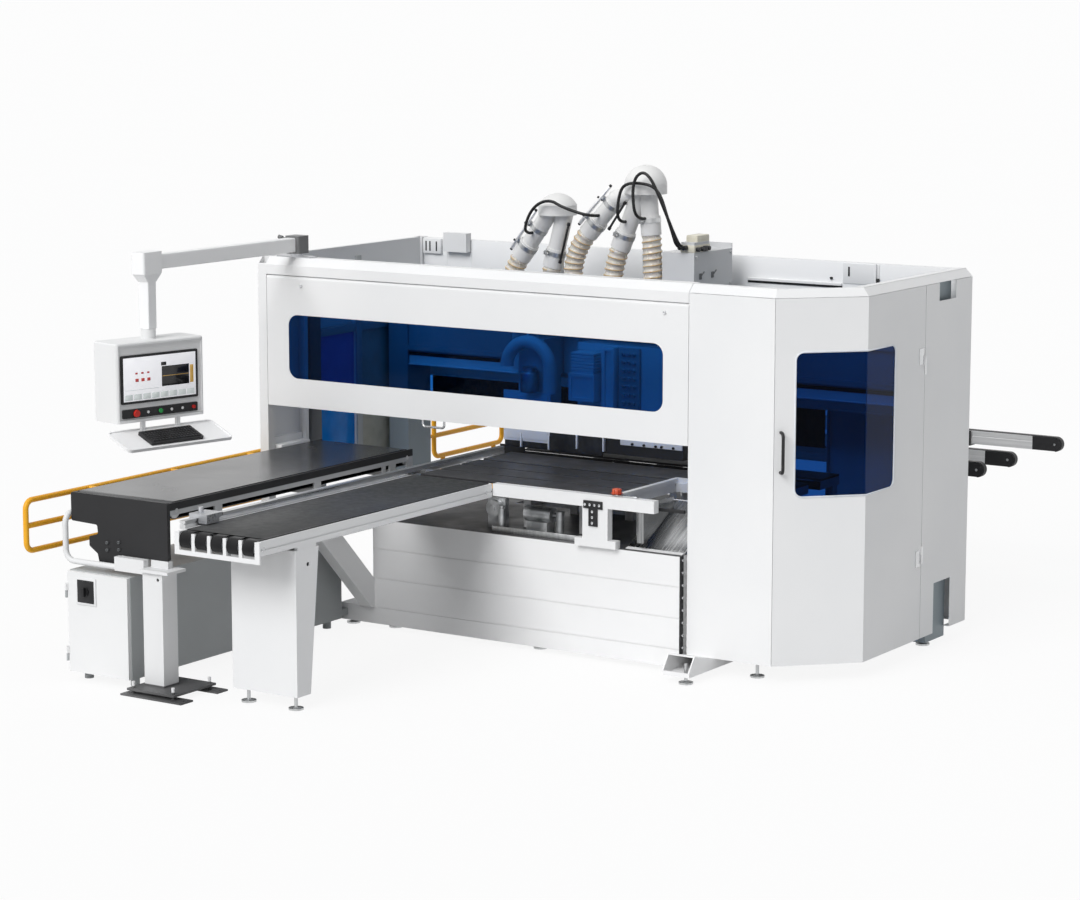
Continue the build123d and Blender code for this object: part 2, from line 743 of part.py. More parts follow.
# Bow handle on the door's slanted face
grip_root = chamfer_face.from_local_coords((door_handle_inset, 0.0, 0.0)) - at((0.0, 0.0, 0.0))
grip_out = chamfer_face.z_dir * door_handle_stand
grip_low = door_handle_z - door_handle_length / 2
grip_high = door_handle_z + door_handle_length / 2
with BuildPart() as door_handle:
    bent_rod([(grip_root.X, grip_root.Y, grip_low),
              (grip_root.X + grip_out.X, grip_root.Y + grip_out.Y, grip_low),
              (grip_root.X + grip_out.X, grip_root.Y + grip_out.Y, grip_high),
              (grip_root.X, grip_root.Y, grip_high)], door_handle_radius, door_handle_bend)
door_handle.part.label = "door_handle"
export_step(door_handle.part, "parts/door_handle.step")

# Lift hood: a folded pan whose rounded top edge turns about the pivot pins
hood_right = -panel_gap
hood_window_span = (hood_left + window_margin, hood_right - window_margin)
with BuildPart() as hood_cover:
    with BuildSketch(facing_right(hood_left)):
        panel((0.0, pan_depth), (opening_height, pivot_z))
        with Locations((pivot_y, pivot_z)):
            Circle(pan_depth / 2)
    extrude(amount=hood_right - hood_left)
    block((hood_left + sheet, hood_right - sheet), (sheet, pan_depth + sheet),
          (opening_height + sheet, pivot_z - pan_depth / 2), Mode.SUBTRACT)
    rod((hood_left + hood_boss, pivot_y, pivot_z), (hood_right - hood_boss, pivot_y, pivot_z),
        pan_depth / 2 - 2 * sheet, Mode.SUBTRACT)
    for end, inward in ((hood_left, 1.0), (hood_right, -1.0)):
        rod((end - inward, pivot_y, pivot_z), (end + inward * (hood_pin_reach + sheet), pivot_y, pivot_z),
            hood_pin_radius + running, Mode.SUBTRACT)
    with BuildSketch(facing_front(0.0)):
        rounded(hood_window_span, (window_sill, window_sill + window_height), window_radius)
    extrude(amount=-sheet, mode=Mode.SUBTRACT)
hood_cover.part.label = "hood_cover"
export_step(hood_cover.part, "parts/hood_cover.step")

# Tinted pane behind the hood's opening
with BuildPart() as hood_window:
    with BuildSketch(facing_front(sheet)):
        rounded((hood_window_span[0] - pane_overlap, hood_window_span[1] + pane_overlap),
                (window_sill - pane_overlap, window_sill + window_height + pane_overlap), window_radius)
    extrude(amount=-pane)
hood_window.part.label = "hood_window"
export_step(hood_window.part, "parts/hood_window.step")

# Grab handle hanging from the hood's lower edge
hood_grip = (hood_handle_x - hood_handle_width / 2, hood_handle_x + hood_handle_width / 2)
with BuildPart() as hood_handle:
    bent_rod([(hood_grip[0], pivot_y, opening_height),
              (hood_grip[0], pivot_y, opening_height - hood_handle_drop),
              (hood_grip[1], pivot_y, opening_height - hood_handle_drop),
              (hood_grip[1], pivot_y, opening_height)], hood_handle_radius, hood_handle_bend)
hood_handle.part.label = "hood_handle"
export_step(hood_handle.part, "parts/hood_handle.step")

# Gantry: two box columns and a box beam with two linear rails on its front face
column_wall = 10.0
beam_span = (left_column + column_width + joint, right_column - joint)
with BuildPart() as gantry:
    for left, top in ((left_column, beam_bottom + beam_height + lip), (right_column, lip_z - 5.0)):
        with BuildSketch(level(foot_lift)):
            panel((left, left + column_width), (column_front, column_front + column_depth))
            panel((left + column_wall, left + column_width - column_wall),
                  (column_front + column_wall, column_front + column_depth - column_wall), Mode.SUBTRACT)
        extrude(amount=top - foot_lift)
        block((left, left + column_width), (column_front, column_front + column_depth),
              (foot_lift, foot_lift + column_wall))
    tie_y = (column_front + tie_inset, column_front + column_depth - tie_inset)
    block((left_column + column_width, sill_left - joint), tie_y, (foot_lift, foot_lift + tie_height))
    block((bed_right + joint, right_column), tie_y, (bed_top - 2 * tie_height, bed_top - tie_height))
    beam_y = (beam_front, beam_front + notch_width)
    beam_z = (beam_bottom, beam_bottom + beam_height)
    with BuildSketch(facing_right(beam_span[0])):
        panel(beam_y, beam_z)
        panel((beam_y[0] + column_wall, beam_y[1] - column_wall),
              (beam_z[0] + column_wall, beam_z[1] - column_wall),
              Mode.SUBTRACT)
        for z in (beam_z[0] + rail_inset, beam_z[1] - rail_inset):
            panel((beam_front - rail_height, beam_front), (z - rail_width / 2, z + rail_width / 2))
    extrude(amount=size(beam_span))
gantry.part.label = "gantry"
export_step(gantry.part, "parts/gantry.step")

# Table frame: front beam on its prop, cross beams on posts, an aluminium-edged opening and a chute
beam_z = (table_top - front_beam_height, table_top)
cross_z = (strip_bottom - joint - frame_beam, strip_bottom - joint)
cross_x = [infeed_right + 40.0, middle((infeed_right + 40.0, edge_frame_x)), edge_frame_x]
edge_z = (strip_bottom, table_top + edge_frame_rise)
edge_y = (table_front, strip_spans[short_strips][0] - joint - 5.0)
prop_z = (bed_top + joint, table_top - front_beam_height - joint)
with BuildPart() as table_frame:
    block((infeed_right + panel_gap, front_beam_right), (front_beam_y, bed_inner - joint), beam_z)
    with BuildSketch(facing_front(bed_inner)):
        with BuildLine():
            Polyline((prop_x - prop_foot / 2, prop_z[0]), (prop_x + prop_foot / 2, prop_z[0]),
                     (prop_x + prop_foot / 2, prop_z[0] + prop_foot_height),
                     (prop_x + prop_width / 2, prop_z[0] + prop_foot_height),
                     (prop_x + prop_width / 2, prop_z[1]), (prop_x - prop_width / 2, prop_z[1]),
                     (prop_x - prop_width / 2, prop_z[0] + prop_foot_height),
                     (prop_x - prop_foot / 2, prop_z[0] + prop_foot_height),
                     close=True)
        make_face()
    extrude(amount=bed_inner - front_beam_y)
    for x in cross_x:
        block((x - frame_beam / 2, x + frame_beam / 2), (bed_inner, slot_front), cross_z)
        block((x - frame_beam / 2, x + frame_beam / 2), (slot_rear, strip_spans[-1][1]), cross_z)
        for y in (250.0, slot_front - 180.0, strip_spans[-1][1] - frame_beam):
            block((x - frame_beam / 2, x + frame_beam / 2), (y - frame_beam / 2, y + frame_beam / 2),
                  (bed_top + joint, cross_z[0] - joint))
    block((edge_frame_x + frame_beam / 2 + joint, strip_right), (edge_y[1] - frame_beam, edge_y[1]),
          cross_z)
    block((strip_right - frame_beam, strip_right), (edge_y[1] - frame_beam, edge_y[1]),
          (bed_top + joint, cross_z[0] - joint))
    block((strip_right - frame_beam, strip_right), (edge_y[1] + joint, slot_front), cross_z)
    block((strip_right - frame_beam, strip_right), (slot_rear, strip_spans[-1][1]), cross_z)
    for y in (slot_front - 180.0, strip_spans[-1][1] - frame_beam):
        block((strip_right - frame_beam, strip_right), (y - frame_beam / 2, y + frame_beam / 2),
              (bed_top + joint, cross_z[0] - joint))
    block((edge_frame_x, edge_frame_x + edge_frame_width), edge_y, edge_z)
    block((edge_frame_x + edge_frame_width + joint, edge_frame_right),
          (edge_y[1] - edge_frame_width, edge_y[1]), edge_z)
    chute_x = (edge_frame_x + frame_beam, -bed_seam - panel_gap)
    with BuildSketch(facing_right(chute_x[0])):
        with BuildLine():
            Polyline((-10.0, bed_top + joint), (20.0, bed_top + joint), (420.0, cross_z[0] - 20.0),
                     (420.0, cross_z[0] - 20.0 + 2 * chute_sheet), (15.0, bed_top + 2 * chute_sheet),
                     (-10.0, bed_top + chute_sheet), close=True)
        make_face()
    extrude(amount=size(chute_x))
table_frame.part.label = "table_frame"
export_step(table_frame.part, "parts/table_frame.step")

# Black table strips with eased top edges; the drilling slot runs between the last two
with BuildPart() as table_strips:
    for index, span in enumerate(strip_spans):
        right = edge_frame_x - joint if index < short_strips else strip_right
        with BuildSketch(facing_right(strip_left)):
            with BuildLine():
                Polyline((span[0], strip_bottom), (span[1], strip_bottom), (span[1], table_top - 3.0),
                         (span[1] - 3.0, table_top), (span[0] + 3.0, table_top), (span[0], table_top - 3.0),
                         close=True)
            make_face()
        extrude(amount=right - strip_left)
table_strips.part.label = "table_strips"
export_step(table_strips.part, "parts/table_strips.step")

# Drive pieces that show in the opening under the front beam
with BuildPart() as feed_drive:
    motor_z = bed_top + 120.0
    block((-1395.0, -1275.0), (112.0, 150.0), (bed_top + joint, motor_z + 60.0))
    rod((-1335.0, 112.0, motor_z), (-1335.0, 72.0, motor_z), 48.0)
    rod((-1335.0, 72.0, motor_z), (-1335.0, 60.0, motor_z), 16.0)
    rod((-1265.0, 60.0, bed_top + joint), (-1265.0, 60.0, motor_z + 10.0), 21.0)
    rod((-1265.0, 60.0, motor_z + 10.0), (-1265.0, 60.0, motor_z + 25.0), 12.0)
    gear_z = bed_top + 111.0
    block((-1110.0, -970.0), (80.0, 160.0), (bed_top + joint, gear_z - 42.0))
    rod((-1130.0, 120.0, gear_z), (-950.0, 120.0, gear_z), 45.0)
    rod((-950.0, 120.0, gear_z), (-925.0, 120.0, gear_z), 14.0)
    rod((-880.0, 80.0, bed_top + joint), (-880.0, 80.0, motor_z + 25.0), 24.0)
feed_drive.part.label = "feed_drive"
export_step(feed_drive.part, "parts/feed_drive.step")

# Infeed table frame: two grooved side rails, a slotted near-end plate and cross bars
infeed_rail_z = (table_top - infeed_rail_height, table_top - 2.0)
near_plate_y = near_roller_y - 25.0
infeed_far = front_beam_y - panel_gap
belt_x = [middle((infeed_left, infeed_right)) + infeed_belt_pitch * (i - (infeed_belt_count - 1) / 2)
          for i in range(infeed_belt_count)]
cross_bars = [pedestal_front + pedestal_top_depth / 2, -1200.0, -500.0]
deck_top = table_top - belt_thickness - clearance
bar_z = (roller_z - 25.0, deck_top - 6.0 - joint)
with BuildPart() as infeed_frame:
    for left, groove in ((infeed_left, infeed_left), (infeed_right - infeed_rail, infeed_right)):
        with BuildSketch(facing_front(infeed_far)):
            panel((left, left + infeed_rail), infeed_rail_z)
            panel((groove - 5.0, groove + 5.0), (roller_z - 5.0, roller_z + 5.0), Mode.SUBTRACT)
        extrude(amount=infeed_far - near_plate_y)
    with BuildSketch(facing_front(near_plate_y - joint)):
        panel((infeed_left, infeed_right), (roller_z - belt_radius - 30.0, table_top - 5.0))
        for x in belt_x:
            panel((x - infeed_belt_width / 2 - 5.0, x + infeed_belt_width / 2 + 5.0),
                  (roller_z - belt_radius - 5.0, table_top), Mode.SUBTRACT)
    extrude(amount=end_plate)
    for y in cross_bars:
        block((infeed_left + infeed_rail + joint, infeed_right - infeed_rail - joint),
              (y - 20.0, y + 20.0), bar_z)
    for y in (near_roller_y, far_roller_y):
        rod((infeed_left - 1.0, y, roller_z), (infeed_right + 1.0, y, roller_z), journal_radius + running,
            Mode.SUBTRACT)
infeed_frame.part.label = "infeed_frame"
export_step(infeed_frame.part, "parts/infeed_frame.step")

# Dark slider deck between the rollers, with ribs between the belts, and the flat belts themselves
deck_y = (near_roller_y + belt_radius + 5.0, far_roller_y - belt_radius - 5.0)
deck_x = (infeed_left + infeed_rail + joint, infeed_right - infeed_rail - joint)
with BuildPart() as infeed_deck:
    with BuildSketch(facing_front(deck_y[1])):
        panel(deck_x, (bar_z[1] + joint, deck_top))
        panel(deck_x, (deck_top, table_top - 1.0))
        for x in belt_x:
            panel((x - infeed_belt_width / 2 - 1.0, x + infeed_belt_width / 2 + 1.0), (deck_top, table_top),
                  Mode.SUBTRACT)
    extrude(amount=size(deck_y))
    for x in belt_x:
        with BuildSketch(facing_right(x - infeed_belt_width / 2)):
            belt_loop(near_roller_y, far_roller_y, roller_z, belt_radius)
        extrude(amount=infeed_belt_width)
infeed_deck.part.label = "infeed_deck"
export_step(infeed_deck.part, "parts/infeed_deck.step")

# Rollers at both ends of the infeed belts
roller_x = (infeed_left + infeed_rail + 1.0, infeed_right - infeed_rail - 1.0)
with BuildPart() as infeed_drive_roller:
    rod((roller_x[0], near_roller_y, roller_z), (roller_x[1], near_roller_y, roller_z), roller_shaft_radius)
    for x in belt_x:
        rod((x - infeed_belt_width / 2, near_roller_y, roller_z),
            (x + infeed_belt_width / 2, near_roller_y, roller_z),
            infeed_roller_radius)
    rod((infeed_left + 2.0, near_roller_y, roller_z), (infeed_right - 2.0, near_roller_y, roller_z),
        journal_radius)
infeed_drive_roller.part.label = "infeed_drive_roller"
export_step(infeed_drive_roller.part, "parts/infeed_drive_roller.step")

with BuildPart() as infeed_tail_roller:
    rod((roller_x[0], far_roller_y, roller_z), (roller_x[1], far_roller_y, roller_z), roller_shaft_radius)
    for x in belt_x:
        rod((x - infeed_belt_width / 2, far_roller_y, roller_z),
            (x + infeed_belt_width / 2, far_roller_y, roller_z),
            infeed_roller_radius)
    rod((infeed_left + 2.0, far_roller_y, roller_z), (infeed_right - 2.0, far_roller_y, roller_z),
        journal_radius)
infeed_tail_roller.part.label = "infeed_tail_roller"
export_step(infeed_tail_roller.part, "parts/infeed_tail_roller.step")

# Tapered folded pedestal with bearers that reach the side rail and a cross bar between the belts
pedestal_x = (infeed_right - pedestal_width, infeed_right)
pedestal_top = roller_z - belt_radius - 6.0


def pedestal_side(inset):
    """Side outline of the pedestal, moved in by the sheet thickness where asked."""
    return [(pedestal_front + inset, pedestal_lift + inset),
            (pedestal_front + pedestal_foot_depth - inset, pedestal_lift + inset),
            (pedestal_front + pedestal_top_depth - inset, pedestal_top - inset),
            (pedestal_front + inset, pedestal_top - inset)]


with BuildPart() as infeed_pedestal:
    with BuildSketch(facing_right(pedestal_x[0])):
        with BuildLine():
            Polyline(*pedestal_side(0.0), close=True)
        make_face()
    extrude(amount=pedestal_width)
    with BuildSketch(facing_right(pedestal_x[0] + pedestal_wall)):
        with BuildLine():
            Polyline(*pedestal_side(pedestal_wall), close=True)
        make_face()
    extrude(amount=pedestal_width - 2 * pedestal_wall, mode=Mode.SUBTRACT)
    rod((pedestal_x[1] - 2 * pedestal_wall, pedestal_front + 103.0, 770.0),
        (pedestal_x[1] + 1.0, pedestal_front + 103.0, 770.0), 11.0, Mode.SUBTRACT)
    bearer_y = (pedestal_front + 20.0, pedestal_front + pedestal_top_depth - 20.0)
    block((infeed_right - infeed_rail, infeed_right - 1.0), bearer_y, (pedestal_top, infeed_rail_z[0]))
    for x in (belt_x[1] + infeed_belt_pitch / 2, belt_x[2] + infeed_belt_pitch / 2):
        block((x - 10.0, x + 10.0), (cross_bars[0] - 20.0, cross_bars[0] + 20.0), (pedestal_top, bar_z[0]))
infeed_pedestal.part.label = "infeed_pedestal"
export_step(infeed_pedestal.part, "parts/infeed_pedestal.step")

# Fence rail along the left of the feed path, on brackets
fence_z = (table_top + fence_rise - fence_height, table_top + fence_rise)
fence_y = (-infeed_reach + 110.0, fence_end)
with BuildPart() as fence_rail:
    with BuildSketch(facing_front(fence_y[1])):
        panel((fence_left, fence_right), fence_z)
        panel((fence_right - 6.0, fence_right), (fence_z[1] - 22.0, fence_z[1] - 14.0), Mode.SUBTRACT)
        panel((fence_left, fence_left + 6.0), (fence_z[1] - 22.0, fence_z[1] - 14.0), Mode.SUBTRACT)
    extrude(amount=size(fence_y))
    for y in (-1950.0, -1300.0, -700.0, -160.0):
        block((fence_right, infeed_left), (y - 25.0, y + 25.0), (table_top - frame_beam, table_top - 2.0))
    for y in (100.0, 500.0, 780.0):
        block((fence_right, strip_left), (y - 25.0, y + 25.0), (fence_z[0], table_top))
fence_rail.part.label = "fence_rail"
export_step(fence_rail.part, "parts/fence_rail.step")

# Panel pusher that runs along the fence
pusher_y = (pusher_start, pusher_start + pusher_length)
with BuildPart() as pusher:
    block((fence_left - 18.0, fence_right + 6.0), pusher_y, (fence_z[1] + clearance, fence_z[1] + 22.0))
    block((fence_left - 18.0, fence_left - clearance), pusher_y, (fence_z[1] - 32.0, fence_z[1] + 22.0))
    with BuildSketch(facing_right(fence_right + 6.0)):
        with BuildLine():
            Polyline((pusher_y[0], table_top + 8.0), (pusher_y[1] - 30.0, table_top + 8.0),
                     (pusher_y[1] - 30.0, table_top + 30.0), (pusher_y[1], fence_z[1] + 5.0),
                     (pusher_y[1], fence_z[1] + 22.0), (pusher_y[0], fence_z[1] + 22.0), close=True)
        make_face()
    extrude(amount=58.0)
    rod((fence_left + 8.0, middle(pusher_y), fence_z[1] + 20.0),
        (fence_left + 8.0, middle(pusher_y), fence_z[1] + 48.0), 14.0)
pusher.part.label = "pusher"
export_step(pusher.part, "parts/pusher.step")

# Return conveyor frame: side rails with hangers and legs, cross tubes and a slider plate
rail_top = conveyor_top - belt_thickness
frame_y = (conveyor_near + conveyor_cover + joint, conveyor_far)
right_rail = (conveyor_right - conveyor_rail, conveyor_right)
left_rail = (conveyor_left, conveyor_left + conveyor_rail)
cross_rows = [-1500.0, -620.0, 100.0]
inner_x = (left_rail[1] + joint, right_rail[0] - joint)
with BuildPart() as conveyor_frame:
    block(right_rail, frame_y, (rail_top - conveyor_rail_height, rail_top))
    block(left_rail, frame_y, (rail_top - conveyor_left_height, rail_top))
    for y in cross_rows:
        block(right_rail, (y - 30.0, y + 30.0), (cross_tube_z, rail_top - conveyor_rail_height))
        block(inner_x, (y - cross_tube / 2, y + cross_tube / 2), (cross_tube_z, cross_tube_z + cross_tube))
    for span in ((0.0, 30.0), (conveyor_far - 60.0, conveyor_far)):
        block(right_rail, span, (bed_top + joint, rail_top - conveyor_rail_height))
    block((conveyor_left, conveyor_left + 40.0), (conveyor_far - 60.0, conveyor_far),
          (0.0, rail_top - conveyor_left_height))
    block(inner_x, (near_drum_y + conveyor_belt_radius + 10.0, far_drum_y - conveyor_belt_radius - 10.0),
          (rail_top - 6.0, rail_top - clearance))
    for y in (near_drum_y, far_drum_y):
        rod((conveyor_left - 1.0, y, drum_z), (conveyor_right + 1.0, y, drum_z), journal_radius + running,
            Mode.SUBTRACT)
conveyor_frame.part.label = "conveyor_frame"
export_step(conveyor_frame.part, "parts/conveyor_frame.step")

# Conveyor belt round its two drums
with BuildPart() as conveyor_belt:
    with BuildSketch(facing_right(belt_left)):
        belt_loop(near_drum_y, far_drum_y, drum_z, conveyor_belt_radius)
    extrude(amount=conveyor_belt_width)
conveyor_belt.part.label = "conveyor_belt"
export_step(conveyor_belt.part, "parts/conveyor_belt.step")

drum_x = (left_rail[1] + 1.0, right_rail[0] - 1.0)
with BuildPart() as conveyor_drive_drum:
    rod((drum_x[0], near_drum_y, drum_z), (drum_x[1], near_drum_y, drum_z), drum_radius)
    rod((conveyor_left + 1.0, near_drum_y, drum_z), (conveyor_right - 1.0, near_drum_y, drum_z),
        journal_radius)
conveyor_drive_drum.part.label = "conveyor_drive_drum"
export_step(conveyor_drive_drum.part, "parts/conveyor_drive_drum.step")

with BuildPart() as conveyor_tail_drum:
    rod((drum_x[0], far_drum_y, drum_z), (drum_x[1], far_drum_y, drum_z), drum_radius)
    rod((conveyor_left + 1.0, far_drum_y, drum_z), (conveyor_right - 1.0, far_drum_y, drum_z),
        journal_radius)
conveyor_tail_drum.part.label = "conveyor_tail_drum"
export_step(conveyor_tail_drum.part, "parts/conveyor_tail_drum.step")

# Dark end cover of the conveyor with a rounded notch on its left
cover_drop = conveyor_top - cover_bottom
with BuildPart() as conveyor_end_cover:
    with BuildSketch(facing_front(conveyor_near + conveyor_cover)):
        with BuildLine():
            Polyline((conveyor_left + 6.0, conveyor_top), (conveyor_right, conveyor_top),
                     (conveyor_right, cover_bottom), (conveyor_left + 340.0, cover_bottom),
                     (conveyor_left + 340.0, cover_bottom - 76.0),
                     (conveyor_left + 245.0, cover_bottom - 76.0),
                     (conveyor_left + 200.0, cover_bottom - 50.0),
                     (conveyor_left + 190.0, cover_bottom - 8.0),
                     (conveyor_left + 132.0, cover_bottom + 30.0),
                     (conveyor_left + 132.0, cover_bottom + 82.0),
                     (conveyor_left + 195.0, cover_bottom + 100.0),
                     (conveyor_left + 190.0, cover_bottom + 150.0),
                     (conveyor_left + 6.0, cover_bottom + cover_drop / 2), close=True)
        make_face()
        fillet(vertices(), 12.0)
    extrude(amount=conveyor_cover)
conveyor_end_cover.part.label = "conveyor_end_cover"
export_step(conveyor_end_cover.part, "parts/conveyor_end_cover.step")

# Conveyor supports: near post on base plates with a bent tube, and a braced bracket on the bed
post_x = (conveyor_right + 8.0 - post_width, conveyor_right + 8.0)
post_y = (conveyor_near - 60.0, conveyor_near - 60.0 + post_depth)
tube_x = conveyor_left - support_tube_radius - joint
tube_y = conveyor_near - 25.0
brace_x = (bed_left - 80.0, bed_left - joint)
with BuildPart() as conveyor_supports:
    with BuildSketch(level(foot_lift)):
        panel(post_x, post_y)
        panel((post_x[0] + post_wall, post_x[1] - post_wall),
              (post_y[0] + post_wall, post_y[1] - post_wall), Mode.SUBTRACT)
    extrude(amount=post_top - foot_lift)
    rod((post_x[1] - 30.0, post_y[0] - 1.0, post_top - 35.0),
        (post_x[1] - 30.0, post_y[0] + 2 * post_wall, post_top - 35.0), 9.0,
        Mode.SUBTRACT)
    flange_x = (post_x[0] - 40.0, post_x[1] + 150.0)
    flange_y = (post_y[0] - 100.0, post_y[1] + 130.0)
    block(flange_x, flange_y, (foot_lift - 12.0, foot_lift))
    for span in ((flange_y[0] - 20.0, flange_y[0] + 80.0), (flange_y[1] - 70.0, flange_y[1] + 20.0)):
        block((flange_x[0] - 30.0, flange_x[1] + 65.0), span, (0.0, 10.0))
        for x in (flange_x[0] - 12.0, flange_x[1] + 45.0):
            rod((x, middle(span), -1.0), (x, middle(span), 11.0), anchor_radius, Mode.SUBTRACT)
    for x in (flange_x[0] + 25.0, flange_x[1] - 25.0):
        for y in (flange_y[0] + 25.0, flange_y[1] - 25.0):
            rod((x, y, 5.0), (x, y, foot_lift + 34.0), 9.0)
    block((post_x[0] - 5.0, post_x[1] + 55.0), (post_y[0] - 20.0, post_y[1] + 10.0),
          (post_top, post_top + 16.0))
    block((post_x[0] + 10.0, conveyor_right), (conveyor_near, conveyor_near + conveyor_cover + 12.0),
          (post_top + 16.0, cover_bottom - joint))
    block((post_x[0] + 10.0, right_rail[0] - joint), (frame_y[0], frame_y[0] + 12.0),
          (cover_bottom - joint, 925.0))
    block((conveyor_left + 347.0, post_x[0] - 5.0), (tube_y - 20.0, tube_y + 20.0),
          (post_top - 20.0, cover_bottom))
    bent_rod([(conveyor_left + 347.0, tube_y, post_top - 4.0), (tube_x, tube_y, post_top - 4.0),
              (tube_x, tube_y, cross_tube_z + 27.0), (tube_x, conveyor_near + 130.0, cross_tube_z + 27.0)],
             support_tube_radius, 60.0)
    with BuildSketch(facing_right(brace_x[0])):
        with BuildLine():
            Polyline((bed_front - 30.0, 131.0), (-540.0, 600.0), (-342.0, 600.0), (bed_front, 299.0),
                     (bed_front, 131.0), close=True)
        make_face()
    extrude(amount=size(brace_x))
    with BuildSketch(facing_right(brace_x[0])):
        with BuildLine():
            Polyline((bed_front - 30.0, 142.3), (-520.0, 600.0), (-345.0, 592.0), (bed_front - 8.0, 295.5),
                     (bed_front - 8.0, 142.3), close=True)
        make_face()
    extrude(amount=size(brace_x) - 8.0, mode=Mode.SUBTRACT)
    block((brace_x[1] - 8.0, brace_x[1]), (bed_front, 150.0), (131.0, 600.0))
    block(brace_x, (-640.0, 150.0), (600.0, bed_top))
    block((brace_x[0] + 20.0, brace_x[1] - 20.0), (cross_rows[1] - 20.0, cross_rows[1] + 20.0),
          (bed_top, cross_tube_z - joint))
conveyor_supports.part.label = "conveyor_supports"
export_step(conveyor_supports.part, "parts/conveyor_supports.step")

# Electrical cabinet: folded case on short feet with the fixed halves of its door hinges
ecab_hinge = (ecab_left - 4.0, ecab_front - 4.0)
ecab_hinge_levels = [150.0, 500.0]
gland_x = ecab_left + 100.0
gland_z = ecab_bottom + 90.0
ecab_case_y = (ecab_front + ecab_door + clearance, ecab_rear)
with BuildPart() as electrical_cabinet:
    block((ecab_left, ecab_right), ecab_case_y, (ecab_bottom, ecab_top))
    block((ecab_left + sheet, ecab_right - sheet), (ecab_case_y[0] - sheet, ecab_case_y[1] - sheet),
          (ecab_bottom + sheet, ecab_top - sheet), Mode.SUBTRACT)
    for x in (ecab_left + 50.0, ecab_right - 50.0):
        for y in (ecab_case_y[0] + 80.0, ecab_case_y[1] - 80.0):
            rod((x, y, 0.0), (x, y, ecab_bottom), 25.0)
    block((ecab_right - 55.0, ecab_right - 5.0), (ecab_rear, bed_front - joint),
          (ecab_bottom + 10.0, sill_height))
    rod((gland_x, ecab_rear - sheet, gland_z), (gland_x, ecab_rear + gland_length - sheet, gland_z),
        1.8 * gland_radius)
    rod((gland_x, ecab_rear - 2 * sheet, gland_z), (gland_x, ecab_rear + gland_length, gland_z),
        gland_radius,
        Mode.SUBTRACT)
    for z in ecab_hinge_levels:
        rod((*ecab_hinge, z - 40.0), (*ecab_hinge, z - clearance), 7.0)
        rod((*ecab_hinge, z - 40.0), (*ecab_hinge, z + 35.0), hinge_pin_radius)
        block((ecab_left - 10.0, ecab_left), (ecab_hinge[1], ecab_case_y[0] + 40.0),
              (z - 40.0, z - clearance))
electrical_cabinet.part.label = "electrical_cabinet"
export_step(electrical_cabinet.part, "parts/electrical_cabinet.step")

# Door of the electrical cabinet with the raised plate of the main switch
with BuildPart() as electrical_door:
    pan((ecab_left + panel_gap, ecab_right - panel_gap), (ecab_bottom + panel_gap, ecab_top - panel_gap),
        ecab_front, ecab_door)
    block((switch_x - switch_plate / 2, switch_x + switch_plate / 2), (ecab_front - 6.0, ecab_front),
          (switch_z - switch_plate / 2, switch_z + switch_plate / 2))
    rod((switch_x, ecab_front - 10.0, switch_z), (switch_x, ecab_front + 10.0, switch_z), 5.0 + running,
        Mode.SUBTRACT)
    for z in ecab_hinge_levels:
        rod((*ecab_hinge, z + clearance), (*ecab_hinge, z + 40.0), 7.0)
        block((ecab_hinge[0], ecab_left + panel_gap + 5.0), (ecab_hinge[1], ecab_front + sheet),
              (z + clearance, z + 40.0))
        rod((*ecab_hinge, z), (*ecab_hinge, z + 60.0), hinge_pin_radius + running, Mode.SUBTRACT)
electrical_door.part.label = "electrical_door"
export_step(electrical_door.part, "parts/electrical_door.step")

# Turning handle of the main switch on its shaft
with BuildPart() as main_switch:
    rod((switch_x, ecab_front - 6.0 - clearance, switch_z), (switch_x, ecab_front - 18.0, switch_z),
        switch_knob_radius)
    block((switch_x - 8.0, switch_x + 8.0), (ecab_front - 34.0, ecab_front - 18.0),
          (switch_z - switch_knob_radius, switch_z + switch_knob_radius))
    rod((switch_x, ecab_front - 10.0, switch_z), (switch_x, ecab_front + 8.0, switch_z), 5.0)
main_switch.part.label = "main_switch"
export_step(main_switch.part, "parts/main_switch.step")

# Yellow guard rails: bent loops with a middle rail, stays to the conveyor in front, legs behind
with BuildPart() as guard_rails:
    for low_y, high_y in (guard_front_span, guard_rear_span):
        centre = middle((low_y, high_y))
        for end in (low_y, high_y):
            bent_rod([(guard_x, centre, guard_low), (guard_x, end, guard_low), (guard_x, end, guard_high),
                      (guard_x, centre, guard_high)], guard_radius, guard_bend)
        rod((guard_x, low_y, middle((guard_low, guard_high))),
            (guard_x, high_y, middle((guard_low, guard_high))), guard_radius)
    for y in guard_stays:
        rod((guard_x, y, guard_high), (conveyor_left - joint, y, guard_high), guard_radius * 0.75)
    for y in (guard_rear_span[0] + 100.0, guard_rear_span[1] - 100.0):
        rod((guard_x, y, 0.0), (guard_x, y, guard_low), guard_radius)
        rod((guard_x, y, 0.0), (guard_x, y, 8.0), 3 * guard_radius)
    stub_y = enclosure_depth - post_size / 2
    rod((guard_x, stub_y, middle((guard_low, guard_high))),
        (guard_x, guard_rear_span[0], middle((guard_low, guard_high))),
        guard_radius * 0.75)
    rod((guard_x, stub_y, middle((guard_low, guard_high))),
        (-hood_width - joint, stub_y, middle((guard_low, guard_high))),
        guard_radius * 0.75)
guard_rails.part.label = "guard_rails"
export_step(guard_rails.part, "parts/guard_rails.step")

